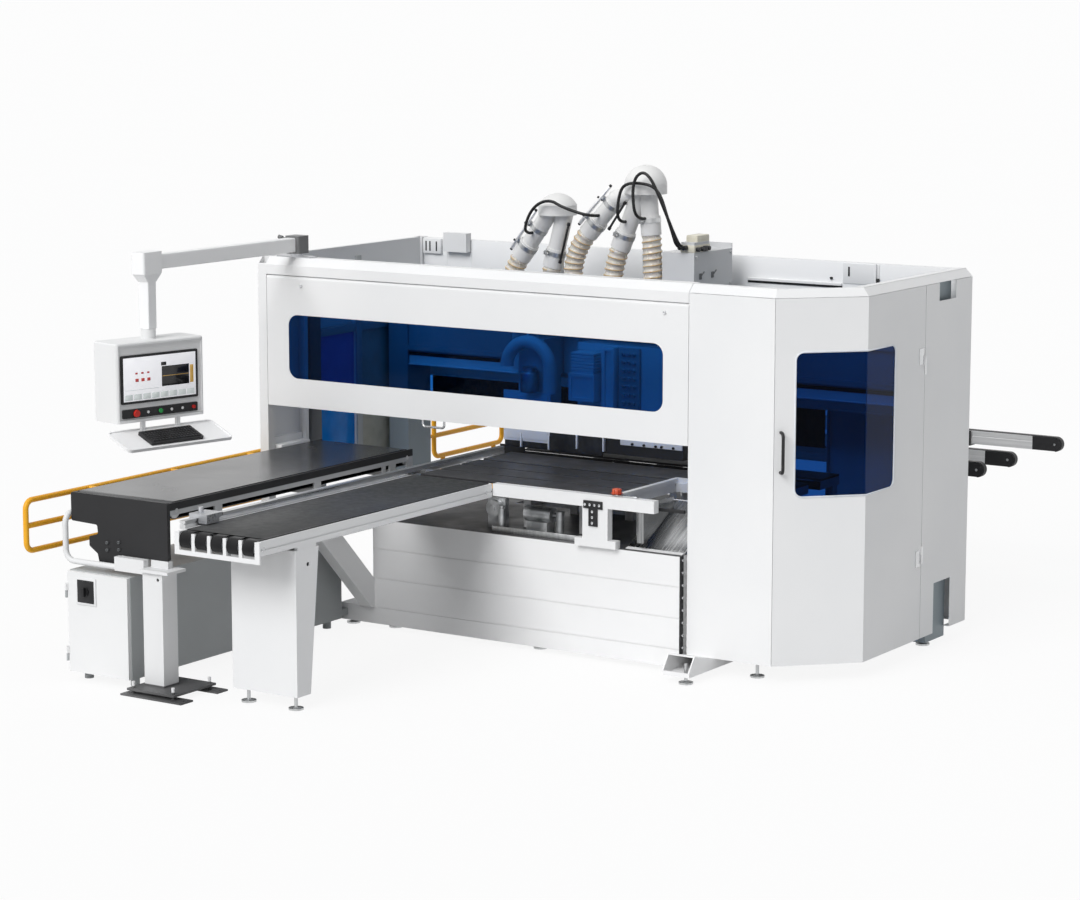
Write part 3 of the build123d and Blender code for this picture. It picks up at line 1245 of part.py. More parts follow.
# Fixed base and pin of the swing arm on the enclosure's top edge
with BuildPart() as arm_pivot:
    block((arm_x - arm_plate[0] / 2, arm_x + arm_plate[0] / 2),
          (arm_pivot_y - arm_plate[1] / 2, arm_pivot_y + arm_plate[1] / 2),
          (enclosure_height, enclosure_height + arm_plate[2]))
    rod((arm_x, arm_pivot_y, enclosure_height), (arm_x, arm_pivot_y, arm_bottom), arm_boss_radius)
    rod((arm_x, arm_pivot_y, arm_bottom), (arm_x, arm_pivot_y, arm_bottom + arm_pin_height), arm_pin_radius)
arm_pivot.part.label = "arm_pivot"
export_step(arm_pivot.part, "parts/arm_pivot.step")

# Swing arm: pivot block, arm tube, elbow with a tapered neck, drop tube and lock lever
collar_top = pendant_top + collar_height
elbow_bottom = arm_axis_z - elbow_height / 2
elbow_y_span = (elbow_y - elbow_length / 2, elbow_y + elbow_length / 2)
with BuildPart() as swing_arm:
    with BuildSketch(level(elbow_bottom)):
        with Locations((arm_x, elbow_y)):
            RectangleRounded(elbow_width, elbow_length, 14.0)
    extrude(amount=elbow_height)
    with BuildSketch(level(elbow_bottom - 45.0)):
        with Locations((arm_x, elbow_y)):
            Rectangle(drop_tube + 2.0, drop_tube + 2.0)
    with BuildSketch(level(elbow_bottom + 1.0)):
        with Locations((arm_x, elbow_y)):
            Rectangle(elbow_width - 10.0, elbow_length - 10.0)
    loft(ruled=True)
    with BuildSketch(level(collar_top + clearance)):
        with Locations((arm_x, elbow_y)):
            RectangleRounded(drop_tube, drop_tube, 6.0)
    extrude(amount=elbow_bottom - collar_top)
    with BuildSketch(facing_front(arm_pivot_y - arm_block / 2 + 6.0)):
        with Locations((arm_x, arm_axis_z)):
            RectangleRounded(arm_tube_width, arm_tube_height, 8.0)
    extrude(amount=arm_pivot_y - arm_block / 2 - elbow_y_span[1] + 12.0)
    with BuildSketch(level(arm_bottom + clearance)):
        with Locations((arm_x, arm_pivot_y)):
            RectangleRounded(arm_block, arm_block, 12.0)
    extrude(amount=arm_block - clearance)
    rod((arm_x, arm_pivot_y, arm_bottom), (arm_x, arm_pivot_y, arm_bottom + arm_pin_height + 1.0),
        arm_pin_radius + running,
        Mode.SUBTRACT)
    rod((arm_x, elbow_y, collar_top), (arm_x, elbow_y, collar_top + swivel_pin_height + 1.0),
        swivel_pin_radius + running,
        Mode.SUBTRACT)
    block((arm_x - drop_tube / 2 + 4.0, arm_x + drop_tube / 2 - 4.0),
          (elbow_y - drop_tube / 2 + 4.0, elbow_y + drop_tube / 2 - 4.0),
          (collar_top + swivel_pin_height + 20.0, arm_axis_z), Mode.SUBTRACT)
    block((arm_x - arm_tube_width / 2 + 4.0, arm_x + arm_tube_width / 2 - 4.0),
          (elbow_y - drop_tube / 2 + 4.0, arm_pivot_y - arm_block / 2 - 5.0),
          (arm_axis_z - arm_tube_height / 2 + 4.0, arm_axis_z + arm_tube_height / 2 - 4.0), Mode.SUBTRACT)
    rod((arm_x, arm_pivot_y - arm_block, arm_axis_z - arm_tube_height),
        (arm_x, arm_pivot_y - arm_block, arm_axis_z), 14.0,
        Mode.SUBTRACT)
    rod((arm_x - arm_block / 2 + 5.0, arm_pivot_y, arm_axis_z + 20.0),
        (arm_x - arm_block / 2 - 60.0, arm_pivot_y, arm_axis_z + 34.0), 7.0)
    rod((arm_x - arm_block / 2 - 56.0, arm_pivot_y, arm_axis_z + 33.2),
        (arm_x - arm_block / 2 - 84.0, arm_pivot_y, arm_axis_z + 39.2),
        12.0)
swing_arm.part.label = "swing_arm"
export_step(swing_arm.part, "parts/swing_arm.step")

# Control pendant, drawn on a plane across its front face
wide = (cos(radians(pendant_yaw)), sin(radians(pendant_yaw)), 0.0)
out = (sin(radians(pendant_yaw)), -cos(radians(pendant_yaw)), 0.0)
pendant_mid = at((arm_x, elbow_y, 0.0))
front_plane = Plane(origin=pendant_mid, x_dir=wide, z_dir=out)
pendant_z = (pendant_bottom, pendant_top)
face_depth = pendant_depth / 2 - pendant_recess


def pendant_level(z):
    """Horizontal sketch plane on the pendant's own axes."""
    return Plane(origin=pendant_mid + Vector(0, 0, z), x_dir=wide, z_dir=(0, 0, 1))


with BuildPart() as pendant_box:
    with BuildSketch(pendant_level(pendant_bottom)):
        RectangleRounded(pendant_width, pendant_depth, pendant_corner)
    extrude(amount=size(pendant_z))
    fillet(edges().group_by(Axis.Z)[-1], 10.0)
    with BuildSketch(front_plane.offset(pendant_depth / 2)):
        panel((-pendant_width / 2 + pendant_rim, pendant_width / 2 - pendant_rim),
              (pendant_z[0] + pendant_rim, pendant_z[1] - pendant_rim))
    extrude(amount=-pendant_recess, mode=Mode.SUBTRACT)
    with BuildSketch(front_plane.offset(face_depth - sheet)):
        panel((-pendant_width / 2 + pendant_corner, pendant_width / 2 - pendant_corner),
              (pendant_z[0] + sheet, pendant_z[1] - 2 * pendant_recess))
    extrude(amount=-(face_depth + pendant_depth / 2 - 2 * sheet), mode=Mode.SUBTRACT)
    rod((arm_x, elbow_y, pendant_top - pendant_recess), (arm_x, elbow_y, collar_top), 42.0)
    rod((arm_x, elbow_y, collar_top), (arm_x, elbow_y, collar_top + swivel_pin_height), swivel_pin_radius)
pendant_box.part.label = "pendant_box"
export_step(pendant_box.part, "parts/pendant_box.step")

# Screen panel and button strip in the pendant's recess
with BuildPart() as pendant_face:
    with BuildSketch(front_plane.offset(face_depth)):
        rounded((-screen_width / 2 - 5.0, screen_width / 2 - 5.0),
                (screen_z - screen_height / 2, screen_z + screen_height / 2), 8.0)
    extrude(amount=pendant_recess - 4.0)
    with BuildSketch(front_plane.offset(face_depth)):
        rounded((-strip_panel_width / 2 - 5.0, strip_panel_width / 2 - 5.0),
                (strip_panel_z - strip_panel_height / 2, strip_panel_z + strip_panel_height / 2), 6.0)
        for across, radius in button_spots.values():
            with Locations((across, strip_panel_z)):
                Circle(radius + clearance, mode=Mode.SUBTRACT)
    extrude(amount=pendant_recess - 1.0)
pendant_face.part.label = "pendant_face"
export_step(pendant_face.part, "parts/pendant_face.step")

# Buttons: a mushroom-headed emergency stop and two plain pushers
button_base = face_depth + button_stroke + 1.5
head_base = face_depth + pendant_recess - 1.0 + button_stroke + clearance
with BuildPart() as emergency_stop:
    with BuildSketch(front_plane.offset(button_base)):
        with Locations((button_spots["emergency_stop"][0], strip_panel_z)):
            Circle(button_spots["emergency_stop"][1])
    extrude(amount=head_base - button_base)
    with BuildSketch(front_plane.offset(head_base)):
        with Locations((button_spots["emergency_stop"][0], strip_panel_z)):
            Circle(button_spots["emergency_stop"][1] + 4.0)
    extrude(amount=10.0, taper=18)
emergency_stop.part.label = "emergency_stop"
export_step(emergency_stop.part, "parts/emergency_stop.step")

with BuildPart() as start_button:
    with BuildSketch(front_plane.offset(button_base)):
        with Locations((button_spots["start_button"][0], strip_panel_z)):
            Circle(button_spots["start_button"][1])
    extrude(amount=head_base - button_base + 4.0)
start_button.part.label = "start_button"
export_step(start_button.part, "parts/start_button.step")

with BuildPart() as stop_button:
    with BuildSketch(front_plane.offset(button_base)):
        with Locations((button_spots["stop_button"][0], strip_panel_z)):
            Circle(button_spots["stop_button"][1])
    extrude(amount=head_base - button_base + 4.0)
stop_button.part.label = "stop_button"
export_step(stop_button.part, "parts/stop_button.step")

# Sloping keyboard tray with a raised rim, on two hangers under the pendant
tray_up = (out[0] * sin(radians(tray_tilt)), out[1] * sin(radians(tray_tilt)), cos(radians(tray_tilt)))
tray_plane = Plane(origin=pendant_mid + Vector(out[0] * tray_out, out[1] * tray_out, tray_z),
                   x_dir=wide, z_dir=tray_up)
with BuildPart() as keyboard_tray:
    with BuildSketch(tray_plane):
        RectangleRounded(tray_width, tray_depth, tray_corner)
    extrude(amount=tray_thickness)
    with BuildSketch(tray_plane.offset(tray_thickness)):
        RectangleRounded(tray_width, tray_depth, tray_corner)
        RectangleRounded(tray_width - 16.0, tray_depth - 16.0, tray_corner - 8.0, mode=Mode.SUBTRACT)
    extrude(amount=6.0)
    with BuildSketch(front_plane.offset(tray_out - tray_depth / 2 * cos(radians(tray_tilt)) + 22.0)):
        for across in (-120.0, 120.0):
            panel((across - 14.0, across + 14.0), (tray_z + 32.0, pendant_bottom - joint))
    extrude(amount=-14.0)
keyboard_tray.part.label = "keyboard_tray"
export_step(keyboard_tray.part, "parts/keyboard_tray.step")

with BuildPart() as keyboard:
    with BuildSketch(tray_plane.offset(tray_thickness + joint)):
        with Locations((-10.0, -14.0)):
            RectangleRounded(keyboard_size[0], keyboard_size[1], 8.0)
    extrude(amount=keyboard_size[2])
keyboard.part.label = "keyboard"
export_step(keyboard.part, "parts/keyboard.step")

# Drilling head carriage on the gantry's rails, with deck, hose spigots, tower and pipe masts
plate_back = beam_front - rail_height - clearance
plate_front = plate_back - head_plate
deck_z = (head_deck, head_deck + 20.0)
tower_x = (head_right - 16.0 - tower_width, head_right - 16.0)
ram_rail_y = (plate_front - 50.0, plate_front)
ram_back = ram_rail_y[0] - clearance
rail_levels = [beam_bottom + rail_inset, beam_bottom + beam_height - rail_inset]


def hose_route(leg):
    """Points of a hose: end of the pipe, the corner below it, top of the spigot under the corner."""
    start = Vector(leg["points"][-1][0], 0, leg["points"][-1][1])
    before = Vector(leg["points"][-2][0], 0, leg["points"][-2][1])
    corner = start + (start - before).normalized() * leg["run"]
    return [(start.X, drill_y, start.Z), (corner.X, drill_y, corner.Z),
            (corner.X, drill_y, corner.Z - leg["run"])]


hose_routes = [hose_route(leg) for hub in hubs for leg in hub["legs"]]
with BuildPart() as head_carriage:
    block((head_left, head_right), (plate_front, plate_back), (beam_bottom - 20.0, head_deck))
    for z in rail_levels:
        for x in (head_left + 120.0, middle((head_left, head_right)), head_right - 120.0):
            block((x - 60.0, x + 60.0), (plate_back, beam_front - 4.0), (z - 35.0, z + 35.0))
            block((x - 60.0, x + 60.0), (plate_back, beam_front),
                  (z - rail_width / 2 - clearance, z + rail_width / 2 + clearance),
                  Mode.SUBTRACT)
    block((head_left, head_right), (drill_y - 110.0, plate_back), deck_z)
    for route in hose_routes:
        foot = route[-1]
        rod((foot[0], foot[1], deck_z[0]), foot, hose_valley)
        rod((foot[0], foot[1], deck_z[0] - 1.0), foot, hose_bore, Mode.SUBTRACT)
    tower_y = (drill_y, drill_y + tower_depth)
    block(tower_x, tower_y, (deck_z[1], tower_top))
    block((tower_x[0] + sheet, tower_x[1] - sheet), (tower_y[0] + sheet, tower_y[1] - sheet),
          (deck_z[1] + sheet, tower_top - sheet), Mode.SUBTRACT)
    block(tower_x, (tower_y[1] - 2 * sheet, tower_y[1]), (tower_top - sheet, tower_top + 10 * sheet))
    block((tower_x[1] - 94.0, tower_x[1] - 4.0), (drill_y + 10.0, drill_y + 180.0),
          (tower_top, tower_top + 62.0))
    block((tower_x[1] - 84.0, tower_x[1] - 14.0), (drill_y + 60.0, drill_y + 190.0),
          (tower_top, tower_top + 95.0))
    for hub in hubs:
        mast_x = hub["x"] + mast_shift
        mast_y = (drill_y + hub["radius"] + joint, drill_y + hub["radius"] + 40.0)
        block((mast_x - 20.0, mast_x + 20.0), mast_y, (deck_z[1], hub["z"] + hub_skirt - 5.0))
        block((mast_x, hub["x"] + 25.0), mast_y, (hub["z"] + 10.0, hub["z"] + hub_skirt - 5.0))
    for x in ram_rails:
        block((x - 12.0, x + 12.0), ram_rail_y, (beam_bottom - 20.0, head_deck - 10.0))
head_carriage.part.label = "head_carriage"
export_step(head_carriage.part, "parts/head_carriage.step")

# Rams: a slim one on the left and a wide one on the right, each with a skirt round its spindle
skirt_wall = 8.0
ram_bottom = brush_bottom + 125.0
spindle_spots = [middle(ram_left_span), middle(ram_right_span)]
with BuildPart() as ram_left:
    block(ram_left_span, (drill_y - 80.0, ram_back), (ram_bottom, ram_tops))
    block((ram_left_span[0] + skirt_wall, ram_left_span[1] - skirt_wall),
          (drill_y - 80.0 + skirt_wall, ram_back - skirt_wall),
          (ram_bottom + 60.0, ram_tops - skirt_wall), Mode.SUBTRACT)
    with BuildSketch(level(brush_bottom)):
        panel(ram_left_span, (drill_y - 80.0, drill_y + 80.0))
        panel((ram_left_span[0] + skirt_wall, ram_left_span[1] - skirt_wall),
              (drill_y - 80.0 + skirt_wall, drill_y + 80.0 - skirt_wall),
              Mode.SUBTRACT)
    extrude(amount=ram_bottom - brush_bottom)
    rod((spindle_spots[0], drill_y, ram_bottom), (spindle_spots[0], drill_y, ram_bottom + 40.0),
        spindle_radius + running, Mode.SUBTRACT)
ram_left.part.label = "ram_left"
export_step(ram_left.part, "parts/ram_left.step")

with BuildPart() as ram_right:
    block(ram_right_span, (drill_y - 80.0, ram_back), (ram_bottom, ram_tops))
    block((ram_right_span[0] + skirt_wall, ram_right_span[1] - skirt_wall),
          (drill_y - 80.0 + skirt_wall, ram_back - skirt_wall),
          (ram_bottom + 60.0, ram_tops - skirt_wall), Mode.SUBTRACT)
    with BuildSketch(level(brush_bottom)):
        panel(skirt_span, (drill_y - 100.0, drill_y + 100.0))
        panel((skirt_span[0] + skirt_wall, skirt_span[1] - skirt_wall),
              (drill_y - 100.0 + skirt_wall, drill_y + 100.0 - skirt_wall),
              Mode.SUBTRACT)
    extrude(amount=ram_bottom - brush_bottom)
    block(skirt_span, (drill_y - 100.0, drill_y + 100.0), (ram_bottom - 10.0, ram_bottom))
    rod((spindle_spots[1], drill_y, ram_bottom - 11.0), (spindle_spots[1], drill_y, ram_bottom + 40.0),
        spindle_radius + running,
        Mode.SUBTRACT)
ram_right.part.label = "ram_right"
export_step(ram_right.part, "parts/ram_right.step")

# Drilling spindles with nose and bit
with BuildPart() as spindle_left:
    rod((spindle_spots[0], drill_y, ram_bottom - 30.0), (spindle_spots[0], drill_y, ram_bottom + 38.0),
        spindle_radius)
    rod((spindle_spots[0], drill_y, ram_bottom - 75.0), (spindle_spots[0], drill_y, ram_bottom - 25.0),
        spindle_nose_radius)
    rod((spindle_spots[0], drill_y, brush_bottom + 7.0), (spindle_spots[0], drill_y, ram_bottom - 70.0),
        bit_radius)
spindle_left.part.label = "spindle_left"
export_step(spindle_left.part, "parts/spindle_left.step")

with BuildPart() as spindle_right:
    rod((spindle_spots[1], drill_y, ram_bottom - 30.0), (spindle_spots[1], drill_y, ram_bottom + 38.0),
        spindle_radius)
    rod((spindle_spots[1], drill_y, ram_bottom - 75.0), (spindle_spots[1], drill_y, ram_bottom - 25.0),
        spindle_nose_radius)
    rod((spindle_spots[1], drill_y, brush_bottom + 7.0), (spindle_spots[1], drill_y, ram_bottom - 70.0),
        bit_radius)
spindle_right.part.label = "spindle_right"
export_step(spindle_right.part, "parts/spindle_right.step")

# Dust pipes: hollow domed hubs with branching legs that end in sleeves
with BuildPart() as dust_pipes:
    for shrink, mode in ((0.0, Mode.ADD), (pipe_wall, Mode.SUBTRACT)):
        for hub in hubs:
            reach = hub["radius"] - shrink
            dome = hub["dome"] - shrink
            rim = hub["z"] + hub_skirt
            ball = (reach ** 2 + dome ** 2) / (2 * dome)
            crown = dome - ball + (ball ** 2 - reach ** 2 / 4) ** 0.5
            with BuildSketch(facing_front(drill_y)):
                with BuildLine():
                    Polyline((hub["x"], rim + dome), (hub["x"], hub["z"] + shrink),
                             (hub["x"] + reach, hub["z"] + shrink),
                             (hub["x"] + reach, rim))
                    ThreePointArc((hub["x"] + reach, rim), (hub["x"] + reach / 2, rim + crown),
                                  (hub["x"], rim + dome))
                make_face()
            revolve(axis=Axis(at((hub["x"], drill_y, 0.0)), (0, 0, 1)), mode=mode)
            for leg in hub["legs"]:
                for upper, lower in zip(leg["points"][:-1], leg["points"][1:]):
                    rod((upper[0], drill_y, upper[1]), (lower[0], drill_y, lower[1]),
                        pipe_radius - shrink, mode)
                for corner in leg["points"][1:-1]:
                    with Locations(at((corner[0], drill_y, corner[1]))):
                        Sphere(pipe_radius + 2.0 - 1.5 * shrink, mode=mode)
                if mode == Mode.ADD:
                    upper, lower = [Vector(p[0], drill_y, p[1]) for p in leg["points"][-2:]]
                    sleeve = lower + (upper - lower).normalized() * sleeve_length
                    rod((sleeve.X, sleeve.Y, sleeve.Z), (lower.X, lower.Y, lower.Z), sleeve_radius)
dust_pipes.part.label = "dust_pipes"
export_step(dust_pipes.part, "parts/dust_pipes.step")

# Ribbed hoses from the pipe sleeves down to the spigots on the deck
rib_steps = [(0.0, hose_valley), (0.2, hose_crest), (0.6, hose_crest), (0.8, hose_valley)]
with BuildPart() as dust_hoses:
    for route in hose_routes:
        with BuildLine() as hose_path:
            FilletPolyline(*[at(p) for p in route], radius=hose_bend)
        hose_wire = hose_path.wire()
        ribs = round(hose_wire.length / hose_pitch)
        steps = [(rib + part, radius) for rib in range(ribs) for part, radius in rib_steps]
        rings = []
        for place, radius in steps + [(ribs, hose_valley)]:
            along = place / ribs
            with BuildSketch(Plane(origin=hose_wire.position_at(along), x_dir=(0, 1, 0),
                                   z_dir=hose_wire.tangent_at(along)),
                             mode=Mode.PRIVATE) as ring:
                Circle(radius)
            rings.append(ring.sketch)
        loft(rings, ruled=True)
        with BuildSketch(Plane(origin=hose_wire.position_at(0), x_dir=(0, 1, 0),
                               z_dir=hose_wire.tangent_at(0)), mode=Mode.PRIVATE) as bore:
            Circle(hose_bore)
        sweep(bore.sketch, path=hose_wire, mode=Mode.SUBTRACT)
dust_hoses.part.label = "dust_hoses"
export_step(dust_hoses.part, "parts/dust_hoses.step")


def bend_radii(points):
    """Largest comfortable arc at each corner of a route."""
    radii = []
    for before, corner, after in zip(points[:-2], points[1:-1], points[2:]):
        back = Vector(*before) - Vector(*corner)
        onward = Vector(*after) - Vector(*corner)
        turn = radians(180.0 - back.get_angle(onward))
        radii.append(0.45 * min(back.length, onward.length) / tan(turn / 2))
    return radii


# Black cables that run from the pipes to the junction box and between the two hubs
with BuildPart() as head_cables:
    for route in cable_routes:
        bent_rod(route, cable_radius, bend_radii(route))
head_cables.part.label = "head_cables"
export_step(head_cables.part, "parts/head_cables.step")

# Lower drilling unit in the bed's well
lower_span = (lower_x - lower_width / 2, lower_x + lower_width / 2)
with BuildPart() as lower_carriage:
    block(lower_span, (drill_y - well_width / 2 + 20.0, drill_y + well_width / 2 - 20.0),
          (lower_base, lower_body_top))
    block((lower_span[0] + skirt_wall, lower_span[1] - skirt_wall),
          (drill_y - well_width / 2 + 20.0 + skirt_wall, drill_y + well_width / 2 - 20.0 - skirt_wall),
          (lower_base + skirt_wall, lower_body_top - skirt_wall), Mode.SUBTRACT)
    rod((lower_x, drill_y, lower_body_top), (lower_x, drill_y, lower_nose), pipe_radius)
    rod((lower_x, drill_y, lower_nose - 40.0), (lower_x, drill_y, lower_nose), spindle_radius + running,
        Mode.SUBTRACT)
lower_carriage.part.label = "lower_carriage"
export_step(lower_carriage.part, "parts/lower_carriage.step")

with BuildPart() as lower_spindle:
    rod((lower_x, drill_y, lower_nose - 38.0), (lower_x, drill_y, lower_nose + 10.0), spindle_radius)
    rod((lower_x, drill_y, lower_nose + 5.0), (lower_x, drill_y, lower_nose + 28.0), spindle_nose_radius)
    rod((lower_x, drill_y, lower_nose + 25.0), (lower_x, drill_y, table_top - 12.0), bit_radius)
lower_spindle.part.label = "lower_spindle"
export_step(lower_spindle.part, "parts/lower_spindle.step")

# Outfeed frame behind the machine
arm_top = table_top - belt_thickness - 4.0
arm_z = (arm_top - outfeed_arm_height, arm_top)
beam_top = arm_z[0] - joint
leg_rows = [outfeed_start + 60.0, outfeed_rows[-1] - 30.0]
with BuildPart() as outfeed_frame:
    for x in outfeed_beams:
        side = (x - outfeed_beam / 2, x + outfeed_beam / 2)
        block(side, (outfeed_start, outfeed_rows[-1] + outfeed_arm_width / 2),
              (beam_top - outfeed_beam_height, beam_top))
        for y in leg_rows:
            block(side, (y - outfeed_beam / 2, y + outfeed_beam / 2),
                  (outfeed_foot_lift, beam_top - outfeed_beam_height - joint))
    for y in leg_rows:
        block((outfeed_beams[0] + outfeed_beam / 2 + joint, outfeed_beams[1] - outfeed_beam / 2 - joint),
              (y - outfeed_beam / 2, y + outfeed_beam / 2), outfeed_rung_z)
    for x in outfeed_ties:
        block((x - outfeed_beam / 2, x + outfeed_beam / 2),
              (bed_rear + bed_panel + joint, leg_rows[0] - outfeed_beam / 2),
              outfeed_rung_z)
outfeed_frame.part.label = "outfeed_frame"
export_step(outfeed_frame.part, "parts/outfeed_frame.step")

# Grooved aluminium arms across the outfeed frame
arm_end = outfeed_right - outfeed_cap
with BuildPart() as outfeed_arms:
    for y in outfeed_rows:
        with BuildSketch(facing_right(outfeed_left)):
            panel((y - outfeed_arm_width / 2, y + outfeed_arm_width / 2), arm_z)
            for side in (y - outfeed_arm_width / 2, y + outfeed_arm_width / 2):
                panel((side - 8.0, side + 8.0), (middle(arm_z) + 6.0, middle(arm_z) + 16.0), Mode.SUBTRACT)
        extrude(amount=arm_end - outfeed_left)
outfeed_arms.part.label = "outfeed_arms"
export_step(outfeed_arms.part, "parts/outfeed_arms.step")

# Black end housings, collars and belts of the outfeed arms
pulley_x = outfeed_right - outfeed_arm_height / 2
pulley_z = middle(arm_z)
belt_in = outfeed_arm_height / 2 + joint
pulley_radius = belt_in - clearance
with BuildPart() as outfeed_end_caps:
    for y in outfeed_rows:
        near = y - outfeed_arm_width / 2
        for face in (near + cheek, near + outfeed_arm_width):
            with BuildSketch(facing_front(face)):
                panel((arm_end + joint, pulley_x), arm_z)
                with Locations((pulley_x, pulley_z)):
                    Circle(outfeed_arm_height / 2)
                    Circle(axle_radius + running, mode=Mode.SUBTRACT)
            extrude(amount=cheek)
        block((arm_end + joint, arm_end + 60.0), (near + cheek, near + outfeed_arm_width - cheek),
              (arm_z[0] + 4.0, arm_z[1] - 4.0))
        block((outfeed_left - 8.0, outfeed_left - joint), (near, near + outfeed_arm_width), arm_z)
        with BuildSketch(facing_front(near + outfeed_arm_width - cheek - 2.0)):
            with Locations((pulley_x, pulley_z)):
                Circle(belt_in + belt_thickness)
            panel((outfeed_left, pulley_x), (pulley_z + belt_in, pulley_z + belt_in + belt_thickness))
            panel((outfeed_left, pulley_x), (pulley_z - 2 * belt_in, pulley_z + belt_in), Mode.SUBTRACT)
            with Locations((pulley_x, pulley_z)):
                Circle(belt_in, mode=Mode.SUBTRACT)
        extrude(amount=outfeed_arm_width - 2 * cheek - 4.0)
        collar = (outfeed_beams[1] + outfeed_beam / 2 + joint, outfeed_beams[1] + outfeed_beam / 2 + 60.0)
        far = near + outfeed_arm_width
        low = arm_z[0] - outfeed_collar
        block(collar, (near - outfeed_collar, near - joint), (low, arm_z[1]))
        block(collar, (far + joint, far + outfeed_collar), (low, arm_z[1]))
        block(collar, (near - outfeed_collar, far + outfeed_collar), (low, arm_z[0] - joint))
outfeed_end_caps.part.label = "outfeed_end_caps"
export_step(outfeed_end_caps.part, "parts/outfeed_end_caps.step")

# Belt pulleys on one line across the three arms
with BuildPart() as outfeed_pulleys:
    for y in outfeed_rows:
        half = outfeed_arm_width / 2
        rod((pulley_x, y - half + cheek + 2.0, pulley_z), (pulley_x, y + half - cheek - 2.0, pulley_z),
            pulley_radius)
        rod((pulley_x, y - half + 0.5, pulley_z), (pulley_x, y + half - 0.5, pulley_z), axle_radius)
outfeed_pulleys.part.label = "outfeed_pulleys"
export_step(outfeed_pulleys.part, "parts/outfeed_pulleys.step")

# Levelling feet under bed, posts, columns, foot bracket, pedestal and outfeed frame
post_mid = -hood_width + post_size / 2
column_mid = column_front + column_depth / 2
feet = [(bed_left + 80.0, 60.0, bed_bottom), (bed_left + 80.0, bed_rear - 60.0, bed_bottom),
        (-1000.0, 60.0, bed_bottom), (-1000.0, bed_rear - 60.0, bed_bottom),
        (bed_right - 90.0, 120.0, cabinet_bottom), (bed_right - 90.0, bed_rear - 60.0, cabinet_bottom),
        (sill_left + 50.0, 20.0, bed_bottom), (sill_left + 50.0, bed_rear - 60.0, bed_bottom),
        (post_mid, post_size / 2, foot_lift), (post_mid, enclosure_depth - post_size / 2, foot_lift),
        (left_column + column_width / 2, column_mid, foot_lift),
        (right_column + column_width / 2, column_mid, foot_lift),
        (bracket_foot[0], bracket_foot[1], foot_bracket_lift + 70.0),
        (pedestal_x[0] + 70.0, pedestal_front + 45.0, pedestal_lift),
        (pedestal_x[1] - 45.0, pedestal_front + 45.0, pedestal_lift)]
feet += [(x, y, outfeed_foot_lift) for x in outfeed_beams for y in leg_rows]
with BuildPart() as levelling_feet:
    for x, y, top in feet:
        levelling_foot(x, y, top)
levelling_feet.part.label = "levelling_feet"
export_step(levelling_feet.part, "parts/levelling_feet.step")
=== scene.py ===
# %% [markdown]
# # A through-feed drilling machine
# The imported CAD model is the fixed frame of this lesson: its panels, rails, belts and moving heads are
# already in place, in metres, with +Y running rearwards along the panel feed. The lesson gives every
# piece its finish and models the small pieces and soft hoses that the solids leave out. Its places are
# given in the row frame, which is easier to measure in: x from the seam between hood and cabinet, y
# rearwards from the hood's face and z up from the floor.

# %% Load the frame
import math

import bpy
from mathutils import Matrix, Vector


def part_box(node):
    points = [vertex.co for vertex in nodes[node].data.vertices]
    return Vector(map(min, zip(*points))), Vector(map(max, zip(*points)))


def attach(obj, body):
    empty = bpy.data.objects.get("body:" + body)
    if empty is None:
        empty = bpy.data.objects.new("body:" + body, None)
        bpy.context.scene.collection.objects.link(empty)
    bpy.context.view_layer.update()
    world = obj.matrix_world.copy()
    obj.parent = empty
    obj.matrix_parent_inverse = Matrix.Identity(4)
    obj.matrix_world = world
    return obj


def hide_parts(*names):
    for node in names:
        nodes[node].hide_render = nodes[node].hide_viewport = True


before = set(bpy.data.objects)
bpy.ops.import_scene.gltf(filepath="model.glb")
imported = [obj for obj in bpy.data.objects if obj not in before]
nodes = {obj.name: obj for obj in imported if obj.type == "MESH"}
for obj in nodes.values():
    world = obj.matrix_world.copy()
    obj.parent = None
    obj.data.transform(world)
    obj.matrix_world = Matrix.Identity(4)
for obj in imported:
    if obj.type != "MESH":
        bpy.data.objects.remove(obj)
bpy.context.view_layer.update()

SEAM = Vector((1.053, -0.576, 0.0))
ROW = Matrix.Translation(SEAM)
RIGHT, REAR, UP = Vector((1, 0, 0)), Vector((0, 1, 0)), Vector((0, 0, 1))
FRONT, DOWN = -REAR, -UP


def spot(x, y, z):
    """A place in the row frame."""
    return ROW @ Vector((x, y, z))


def limits(node):
    """A CAD node's limits along x, y and z in the row frame."""
    low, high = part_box(node)
    return [(low[axis] - SEAM[axis], high[axis] - SEAM[axis]) for axis in range(3)]


# %% [markdown]
# The photograph was taken with a long lens from the front right, from a little higher than the machine's
# top. The camera stands at that place. A wide lens from nearby would frame the machine too, but only a
# long lens keeps the upright edges nearly parallel, as in a catalogue picture.

# %% Camera
def deselect():
    """Deselect everything, because an operator acts on all that is selected."""
    bpy.ops.object.select_all(action="DESELECT")


TILT, TURN = math.radians(80.9), math.radians(33.27)
deselect()
bpy.ops.object.camera_add(location=spot(8.09, -13.80, 3.80), rotation=(TILT, 0.0, TURN))
camera = bpy.context.object
camera.name = "photo_camera"
camera.data.sensor_width = 36.0
camera.data.lens = 99.03
camera.data.clip_end = 2000.0
bpy.context.scene.camera = camera
bpy.context.scene.view_settings.view_transform = "Standard"
print("camera at", tuple(round(v, 2) for v in camera.location))

# %% [markdown]
# A catalogue picture has a white backdrop. A brighter world would give that, but it would also wash out
# the machine. So the world gives only a weak and slightly blue fill light, and light paths show it as
# white to the camera, to mirrors and to glass.

